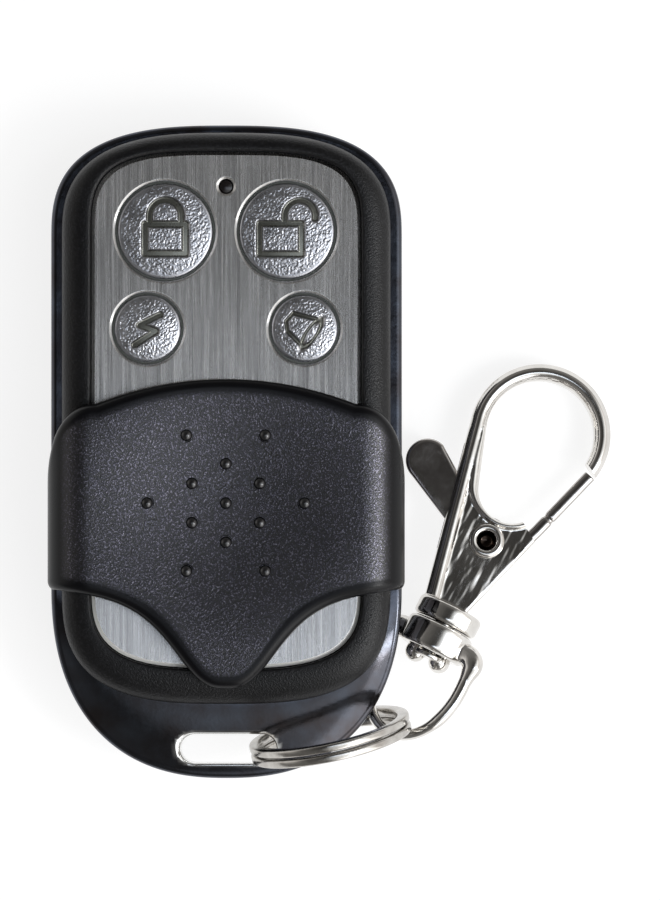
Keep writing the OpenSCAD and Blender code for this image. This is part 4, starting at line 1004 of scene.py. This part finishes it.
def makeRing():
    # a squarish section carried twice round, which steps over by a wire's height half way along
    s = ringSizes
    a = np.arange(s["from"], s["to"] + 0.1, s["every"])
    rise = (s["axial"] - s["turn"]) * (softStep(a, s["stepFrom"], s["stepTo"]) - 0.5)
    outward = atHeight(headings(np.radians(a)), 0.0)
    path = outward * ((s["outer"] - s["radial"]) / 2) + np.stack([0 * a, 0 * a, rise], 1)
    section = squarish(s["radial"] / 2, s["turn"] / 2, 4.0, 24)
    taperLong, taperBy = s["taper"]                 # the wire's ends are slightly ground off
    ends = np.minimum(1, np.minimum(a - s["from"], s["to"] - a) / taperLong * taperBy + 1 - taperBy)
    skin = Skin()
    tube(skin, path, section[None] * ends[:, None, None], outward)
    turn = turnMatrix("z", s["yaw"]) @ turnMatrix("x", 180 - s["lean"]) @ turnMatrix("z", s["start"])
    return pieceFrom("split_ring_coils", skin, (turn, np.array(s["middle"])))


finishPiece(makeRing(), ringFinish, "ring", ["split_ring"], 50)

# Snap hook, in its own axes: Y along the hook from the swivel, Z out of its flat
hookY = np.array(joints["hook_swivel"]["axis"])
hookZ = np.array(joints["gate_pivot"]["axis"])
hookTurn = np.stack([np.cross(hookY, hookZ), hookY, hookZ], 1)
hookPlace = (hookTurn, np.array(joints["hook_swivel"]["pos_m"]) / mm)
eyePlace = (hookTurn @ turnMatrix("y", -25), hookPlace[1])
eyeSizes = {"low": 9.6, "half": 4.5, "wire": 0.6, "bowStart": 3.5, "barrelR": 3.2, "barrelHalf": 1.35,
            "barrelRoll": 0.45, "bore": 1.06, "shoulder": (1.05, 0.96), "swell": (-2.6, -0.3), "bend": 1.1,
            "armY": -0.15, "inside": 2.2, "wearAndHighlight": 0.1, "wornFrom": (6.3, 8.0)}


def makeEye():
    # a barrel, and a stirrup: shoulders that bend down into round legs, which meet in half an ellipse
    s = eyeSizes
    skin = Skin()
    barrel = roundedDrum(s["barrelR"], -s["barrelHalf"], s["barrelHalf"], s["barrelRoll"], s["bore"])
    revolved(skin, barrel, 72, "y", closed=True)
    t = np.linspace(-pi / 2, 0, 40)
    bow = np.stack([s["half"] * np.cos(t), -s["bowStart"] + (s["low"] - s["bowStart"]) * np.sin(t)], 1)
    t = quarter(12)
    bendX = s["half"] - s["bend"]
    bend = np.stack([bendX + s["bend"] * np.cos(t), s["armY"] - s["bend"] * (1 - np.sin(t))], 1)
    leg = np.stack([np.full(12, s["half"]), np.linspace(-s["bowStart"], bend[0, 1], 14)[1:-1]], 1)
    arm = np.stack([np.linspace(bendX, s["inside"], 8)[1:], np.full(7, s["armY"])], 1)
    right = np.concatenate([bow, leg, bend, arm])
    path = np.concatenate([right[:0:-1] * [-1, 1], right])
    swell = softStep(path[:, 1], *s["swell"])
    thin = s["wire"] - s["wearAndHighlight"] * softStep(-path[:, 1], *s["wornFrom"])    # worn where the ring runs
    wide, high = (thin + (full - thin) * swell for full in s["shoulder"])
    flatTube(skin, path, squarish(1, 1, 2.3, 24)[None] * np.stack([high, wide], 1)[:, None])
    eye = pieceFrom("swivel_eye_cast", skin, eyePlace)
    castTogether(eye, 0.09, 4)
    return eye


finishPiece(makeEye(), hookFinish, "eye", ["swivel_eye"], None)

pinSizes = {"shank": 1.0, "top": 3.6, "headLow": -2.8, "headTop": -1.45, "baseR": 1.6, "baseT": 0.45,
            "lobe": (1.0, 1.0), "apart": 1.2}


def makePin():
    # a shank, and a peened end of two round lobes side by side on a thin base
    s = pinSizes
    skin = Skin()
    revolved(skin, roundedDrum(s["shank"], s["headTop"] - 0.4, s["top"], 0.1), 40, "y")
    revolved(skin, roundedDrum(s["baseR"], s["headTop"] - s["baseT"], s["headTop"], 0.15), 56, "y")
    t = np.linspace(-pi / 2, pi / 2, 18)
    lobeR, lobeH = s["lobe"]
    lobe = np.stack([lobeR * np.cos(t), s["headLow"] + lobeH * (1 + np.sin(t))], 1)
    for side in (-1, 1):
        revolved(skin, lobe, 40, "y", at=(side * s["apart"], 0, 0))
    pin = pieceFrom("swivel_pin_head", skin, hookPlace)
    castTogether(pin, 0.06, 4)
    return pin


finishPiece(makePin(), hookFinish, "hook", ["swivel_pin"], None)

hookSizes = {"thick": 2.8, "web": 2.0, "webRoll": 0.3, "rim": 0.45, "cheek": 0.62, "neckIn": 0.9,
             "wave": 0.06, "waveLength": 0.5, "loopY": 21.3, "loopR": 6.55, "band": 1.55, "neckLow": 3.65,
             "neckHalf": 2.2, "neckShift": 0.7, "holeLow": 12.4, "holeLowR": 3.1, "rivetY": 10.2,
             "rivetR": 1.15, "noseY": 20.0, "slot": 1.12, "collarR": 3.1, "collarY": (1.45, 3.35),
             "collarRoll": 0.45, "tabY": 14.45, "aslant": 33}


def evenly(points, n):
    # n points evenly along a closed outline
    return placesAlong(np.concatenate([points, points[:1]]), n, endpoint=False)[0]


def inset(points, d):
    # moves an anticlockwise outline inwards by d along its own normals
    tangent = np.roll(points, -1, 0) - np.roll(points, 1, 0)
    tangent /= np.linalg.norm(tangent, axis=1, keepdims=True)
    return points + d * np.stack([-tangent[:, 1], tangent[:, 0]], 1)


def tangentAngle(p, side):
    # where on the loop a line from p touches it, in degrees
    d = p - loopMiddle
    return np.degrees(np.arctan2(d[1], d[0]) + side * np.arccos(hookSizes["loopR"] / np.hypot(*d)))


loopMiddle = np.array([0, hookSizes["loopY"]])
rivetMiddle = np.array([0, hookSizes["rivetY"]])
neckRight, neckLeft = (np.array([side * hookSizes["neckHalf"] - hookSizes["neckShift"], hookSizes["neckLow"]])
                       for side in (1, -1))
rightAngle, leftAngle = tangentAngle(neckRight, 1), tangentAngle(neckLeft, -1) + 360
gateStart = pointAt(loopMiddle, hookSizes["loopR"], rightAngle)
gateLine = (gateStart - neckRight) / np.linalg.norm(gateStart - neckRight)
gateIn = np.array([-gateLine[1], gateLine[0]])
railStart = pointAt(loopMiddle, hookSizes["loopR"], leftAngle)
railLong = np.linalg.norm(neckLeft - railStart)
railLine = (neckLeft - railStart) / railLong


def onGate(y, inward):
    # point on the hook's straight right edge, moved inwards
    return neckRight + gateLine * ((y - neckRight[1]) / gateLine[1]) + gateIn * inward


def headingFromRivet(p):
    d = p - rivetMiddle
    return np.degrees(np.arctan2(d[1], d[0]))


noseR = np.linalg.norm(onGate(hookSizes["noseY"], 0) - rivetMiddle)


def rolledSlab(skin, outer, thick, roll, hole=None):
    # flat plate whose rims are rolled over a quarter circle above and below
    t = np.linspace(-pi / 2, pi / 2, 13)
    bend = [(roll * (1 - np.cos(k)), (thick / 2 - roll) * np.sign(np.sin(k)) + roll * np.sin(k)) for k in t]
    rims = [skin.grid(np.array([atHeight(inset(outer, d), z) for d, z in bend]), wrapCols=True)]
    if hole is not None:
        rims.append(skin.grid(np.array([atHeight(inset(hole, -d), z) for d, z in bend]), wrapCols=True))
    for end in (0, -1):
        skin.fill([rim[end] for rim in rims])


def extruded(skin, outline, thick):
    walls = np.array([atHeight(outline, -thick / 2), atHeight(outline, thick / 2)])
    skin.capEnds(skin.grid(walls, wrapCols=True))


def castHook():
    # web, rail, loop, rim and collar as overlapping shells, cast together
    s = hookSizes
    outline = np.concatenate([arcPoints(loopMiddle, s["loopR"], rightAngle, leftAngle, 160),
                              [neckLeft + railLine * s["neckIn"], neckRight - gateLine * s["neckIn"]]])
    holeR = s["loopR"] - s["band"]
    lowMiddle = np.array([0, s["holeLow"] + s["holeLowR"]])
    lean = np.degrees(np.arcsin((holeR - s["holeLowR"]) / (s["loopY"] - lowMiddle[1])))
    hole = np.concatenate([arcPoints(loopMiddle, holeR, -lean, 180 + lean, 90),
                           arcPoints(lowMiddle, s["holeLowR"], 180 + lean, 360 - lean, 50)])
    skin = Skin()
    rolledSlab(skin, evenly(outline, 260), s["web"], s["webRoll"], evenly(hole, 180))
    # rail and loop: a rounded bar carried along the middle of the band, from the nose round to the neck
    loop = arcPoints(loopMiddle, s["loopR"] - s["band"] / 2, rightAngle, leftAngle, 150)
    rail = loop[-1] + railLine * np.linspace(0, railLong + s["neckIn"], 60)[1:, None]
    flatTube(skin, np.concatenate([loop, rail]), squarish(s["thick"] / 2, s["band"] / 2, 2.3, 32))
    # rim: a bead round the hole's lower end, wider where it runs beside the rail
    start = arcPoints(loopMiddle, holeR, 180 + lean, 180 + lean, 1)
    low = arcPoints(lowMiddle, s["holeLowR"], 180 + lean, 372 - lean, 80)
    edge = np.concatenate([start + (low[:1] - start) * np.linspace(0, 1, 51)[:-1, None], low])
    outward = np.gradient(edge, axis=0)[:, ::-1] * [1, -1]
    outward /= np.linalg.norm(outward, axis=1, keepdims=True)
    t = np.linspace(0, 1, len(edge))
    thin = s["rim"] / 2 + 0.1
    bead = thin + (s["cheek"] - thin) * softStep(t, 0.02, 0.25) * (1 - softStep(t, 0.35, 0.6))
    size = np.stack([np.full(len(t), s["thick"] / 2 - 0.08), bead], 1)
    flatTube(skin, edge + outward * bead[:, None], squarish(1, 1, 2.4, 24)[None] * size[:, None])
    revolved(skin, roundedDrum(s["collarR"], *s["collarY"], s["collarRoll"]), 72, "y")
    aslant = turnMatrix("z", s["aslant"])           # so that no long edge runs along the grid it is cast on
    hook = pieceFrom("hook_body_cast", skin, (aslant, np.zeros(3)))
    castTogether(hook, 0.08, 12)
    points = pointsOf(hook) @ aslant
    x, y, z = points.T / mm                         # slight waves of the casting on the web's two faces
    onWeb = (np.abs(np.abs(z) - s["web"] / 2) < 0.05) & (y > s["collarY"][1] + 0.1)
    wave = latticeNoise(x, y * 0.15, s["waveLength"], 71) - 0.75
    wave += 0.5 * latticeNoise(x, y * 0.25, s["waveLength"] / 2, 72)
    points[:, 2] += onWeb * np.sign(z) * s["wave"] * wave * mm
    hook.data.vertices.foreach_set("co", points.ravel())
    return hook


def makeHook():
    s = hookSizes
    hook = castHook()
    wide = s["loopR"] + 3
    mouth = Skin()                                  # what the gate closes; its far end turns about the rivet
    a1, a2 = (headingFromRivet(onGate(s["noseY"], inward)) for inward in (-2.5, 3.4))
    near = [[2, s["holeLow"] + 1], [4.4, s["holeLow"] - 0.5], [wide, s["holeLow"] - 0.5]]
    extruded(mouth, np.concatenate([near, arcPoints(rivetMiddle, noseR, a1 - 9, a2, 30)]), s["thick"] + 2)
    cutBy(hook, pieceFrom("mouth_cutter", mouth))
    slot = Skin()                                   # slot that the lever turns in
    lowY, highY, tabY = s["rivetY"] - 2.6, s["holeLow"] + 1.5, s["tabY"] + 3
    extruded(slot, np.array([[-wide, lowY], [wide, lowY], [wide, highY], [-s["holeLowR"], highY],
                             [-s["holeLowR"], tabY], [-wide, tabY]]), s["slot"])
    cutBy(hook, pieceFrom("slot_cutter", slot))
    bore = Skin()                                   # the rivet's hole
    revolved(bore, [(0, -3), (s["rivetR"], -3), (s["rivetR"], 3), (0, 3)], 40, at=(0, s["rivetY"], 0))
    cutBy(hook, pieceFrom("bore_cutter", bore))
    points = pointsOf(hook) @ hookTurn.T + hookPlace[1] * mm
    hook.data.vertices.foreach_set("co", points.ravel())
    return hook


finishPiece(makeHook(), hookFinish, "hook", ["hook_body"], 50)

leverSizes = {"thick": 1.0, "hub": 2.3, "hubEdge": 0.1, "bore": 1.2, "gate": 1.15, "gap": 0.15, "notch": 0.22,
              "notchAt": 0.52, "notchWide": 0.16, "tabEnd": (-8.2, 14.45), "tabR": 2.05, "tabRoll": 0.35}


def makeLever():
    # a drum round the rivet, a notched bar for the gate and a rolled tab
    s, h = leverSizes, hookSizes
    y0 = h["rivetY"]
    half, edge = s["thick"] / 2, s["hubEdge"]
    skin = Skin()
    revolved(skin, [(s["bore"], -half), (s["hub"] - edge, -half), (s["hub"], -half + edge),
                    (s["hub"], half - edge), (s["hub"] - edge, half), (s["bore"], half)], 72, closed=True,
             at=(0, y0, 0))
    # gate: a rounded bar from the hub to just short of the nose
    bends = np.array([[1.0, y0 - 0.3], onGate(h["holeLow"] - 1.2, s["gate"] / 2 + 0.1),
                      onGate(h["holeLow"] + 0.6, s["gate"] / 2),
                      onGate(h["noseY"] - s["gap"], s["gate"] / 2)])
    path, at = placesAlong(bends, 140)
    notch = 1 - s["notch"] * np.exp(-((at / at[-1] - s["notchAt"]) * at[-1] / s["notchWide"]) ** 2)
    flatTube(skin, path, squarish(half, s["gate"] / 2, 2.6, 28)[None] * notch[:, None, None])
    end = np.array(s["tabEnd"])
    way = end - [0, y0 + 1.5]
    heading = np.degrees(np.arctan2(way[1], way[0]))
    tab = np.concatenate([arcPoints(end, s["tabR"], heading - 90, heading + 90, 40),
                          [[-1.45, y0 - h["rivetR"] - 0.15], [-1.35, y0 + 1.0], [-1.25, y0 + 1.75]]])
    rolledSlab(skin, evenly(tab, 160), s["thick"], s["tabRoll"])
    lever = pieceFrom("gate_lever_plate", skin, hookPlace)
    castTogether(lever, 0.07, 5)
    return lever


finishPiece(makeLever(), leverFinish, "gate", ["gate_lever"], None)

rivetSizes = {"barrel": 1.15, "flange": 1.65, "bore": 0.82, "rise": 0.5, "hollow": 2.0}


def makeRivet():
    # revolved profile: closed head below, barrel, and a rolled eyelet above round a blind hollow
    s = rivetSizes
    half = hookSizes["web"] / 2
    middle, reach = (s["flange"] + s["bore"]) / 2, (s["flange"] - s["bore"]) / 2
    eyelet = [(middle + reach * np.cos(k), half + s["rise"] * np.sin(k)) for k in np.linspace(0, pi, 13)]
    head = [(s["flange"] * np.sin(k), -half - s["rise"] * np.cos(k)) for k in quarter(10)]
    floorZ = half + s["rise"] - s["hollow"]
    hollow = [(s["bore"], half - 0.1), (s["bore"], floorZ + 0.2), (s["bore"] * 0.8, floorZ), (0, floorZ)]
    solid = head + [(s["barrel"], -half), (s["barrel"], half)] + eyelet
    skin = Skin()
    # the hollow takes weight nought, so it is painted near black as shade
    revolved(skin, solid + hollow, 56, weight=[1.0] * len(solid) + [0.0] * len(hollow),
             at=(0, hookSizes["rivetY"], 0))
    return pieceFrom("gate_rivet_eyelet", skin, hookPlace)


finishPiece(makeRivet(), rivetFinish, "hook", ["gate_rivet"], 60)
print("ring and hook made")

# Floor, light and camera, in metres
stageSizes = {"floor": 3.0, "floorZ": -0.00003, "glow": 0.82, "middle": (0.0095, 0.0002), "distance": 0.607,
              "plane": 0.007, "view": 0.08272, "sensor": 36.0, "aim": (0.005, 0, 0.005)}


def makeFloor():
    # pale and matt; seen straight, in gloss or through glass, it also glows, so that it reads white
    half, z = stageSizes["floor"] / 2, stageSizes["floorZ"]
    mesh = bpy.data.meshes.new("floor")
    corners = [(-half, -half, z), (half, -half, z), (half, half, z), (-half, half, z)]
    mesh.from_pydata(corners, [], [(0, 1, 2, 3)])
    finish = bpy.data.materials.new("floor_white")
    finish.use_nodes = True
    tree = finish.node_tree
    tree.nodes.clear()
    matt = addNode(tree, "ShaderNodeBsdfDiffuse", Color=(0.3, 0.3, 0.3, 1))
    rays = addNode(tree, "ShaderNodeLightPath").outputs
    seen = maths(tree, "MAXIMUM", rays["Is Camera Ray"], rays["Is Glossy Ray"])
    seen = maths(tree, "MAXIMUM", seen, rays["Is Transmission Ray"])
    level = spread(tree, seen, 0.0, stageSizes["glow"], 0.0, 1.0)
    glow = addNode(tree, "ShaderNodeEmission", {"Strength": level}, Color=(1, 1, 1, 1))
    mixed = addNode(tree, "ShaderNodeAddShader", {0: matt.outputs[0], 1: glow.outputs[0]})
    addNode(tree, "ShaderNodeOutputMaterial", {"Surface": mixed.outputs[0]})
    mesh.materials.append(finish)
    return objectFrom("floor", mesh)


floor = makeFloor()

scene.world = bpy.data.worlds.new("studio")
scene.world.use_nodes = True
sky = scene.world.node_tree
sky.nodes.clear()
skyWay = addNode(sky, "ShaderNodeTexCoord").outputs["Generated"]
skyAxes = addNode(sky, "ShaderNodeSeparateXYZ", {0: skyWay})
eastward, northward, upward = (skyAxes.outputs[k] for k in "XYZ")


def towards(x, y):
    # how far a ray heads along a level direction
    heading = addNode(sky, "ShaderNodeVectorMath", {0: skyWay}, operation="DOT_PRODUCT")
    heading.inputs[1].default_value = (x, y, 0)
    return heading.outputs["Value"]


def ray(axis, low, high, bright=1.0):
    # nought up to low, bright from high on
    return spread(sky, axis, 0.0, bright, low, high)


def glowing(colour, *rays):
    # light of one colour, as strong as the product of the rays
    strength = rays[0]
    for more in rays[1:]:
        strength = maths(sky, "MULTIPLY", strength, more)
    return addNode(sky, "ShaderNodeBackground", {"Strength": strength}, Color=(*colour, 1))


# overhead is dark and the room dim; the surroundings low down are pale; a window fills the lower right;
# a pale patch lies just short of overhead; the horizon is white
domeSteps = [(0.0, 0.22), (0.35, 0.2), (0.7, 0.16), (0.9, 0.1), (0.97, 0.06), (1.0, 0.04)]
dome = addNode(sky, "ShaderNodeValToRGB", {"Fac": upward})
for height, bright in domeSteps[1:-1]:
    dome.color_ramp.elements.new(height)
for stop, (height, bright) in zip(dome.color_ramp.elements, domeSteps):
    stop.position = height
    stop.color = (bright, bright * 0.97, bright * 0.93, 1)
light = addNode(sky, "ShaderNodeBackground", {"Color": dome.outputs[0]}, Strength=1.0)
window = glowing((0.97, 0.99, 1.0), ray(towards(0.707, -0.707), 0.02, 0.34, 1.1),
                 ray(towards(0.707, 0.707), -0.45, -0.2), ray(upward, 0.4, 0.65))
tent = glowing((1.0, 0.97, 0.95), ray(upward, 0.7, 0.45, 0.75), ray(northward, 0.75, 0.35),
               ray(towards(-0.5, -0.87), 0.75, 0.4))
patch = glowing((0.8, 0.9, 1.05), ray(northward, -0.01, -0.028, 1.9), ray(northward, -0.2, -0.12),
                ray(eastward, -0.12, 0.02), ray(eastward, 0.8, 0.5), ray(upward, 0.3, 0.6))
for more in (window, tent, patch):
    light = addNode(sky, "ShaderNodeAddShader", {0: light.outputs[0], 1: more.outputs[0]})
white = addNode(sky, "ShaderNodeBackground", Color=(1, 1, 1, 1), Strength=1.0)
light = addNode(sky, "ShaderNodeMixShader",
                {0: ray(upward, 0.14, 0.08), 1: light.outputs[0], 2: white.outputs[0]})
addNode(sky, "ShaderNodeOutputWorld", {"Surface": light.outputs[0]})


def softbox(name, place, size, power):
    lamp = bpy.data.lights.new(name, "AREA")
    lamp.shape, lamp.size, lamp.size_y = "RECTANGLE", size[0], size[1]
    lamp.energy = power
    box = objectFrom(name, lamp)
    box.location = place
    box.rotation_euler = (Vector(stageSizes["aim"]) - Vector(place)).to_track_quat("-Z", "Y").to_euler()
    box.visible_camera = False


softbox("window_right", (0.42, -0.16, 0.50), (0.16, 0.16), 1.0)
softbox("window_lower_right", (0.62, -0.60, 0.46), (1.0, 0.7), 3.0)

camera = bpy.data.cameras.new("camera")
camera.sensor_fit, camera.sensor_height = "VERTICAL", stageSizes["sensor"]
camera.lens = stageSizes["sensor"] * (stageSizes["distance"] - stageSizes["plane"]) / stageSizes["view"]
camera.clip_start, camera.clip_end = 0.01, 10
scene.camera = objectFrom("camera", camera)         # looks straight down
scene.camera.location = (*stageSizes["middle"], stageSizes["distance"])
print("stage made")
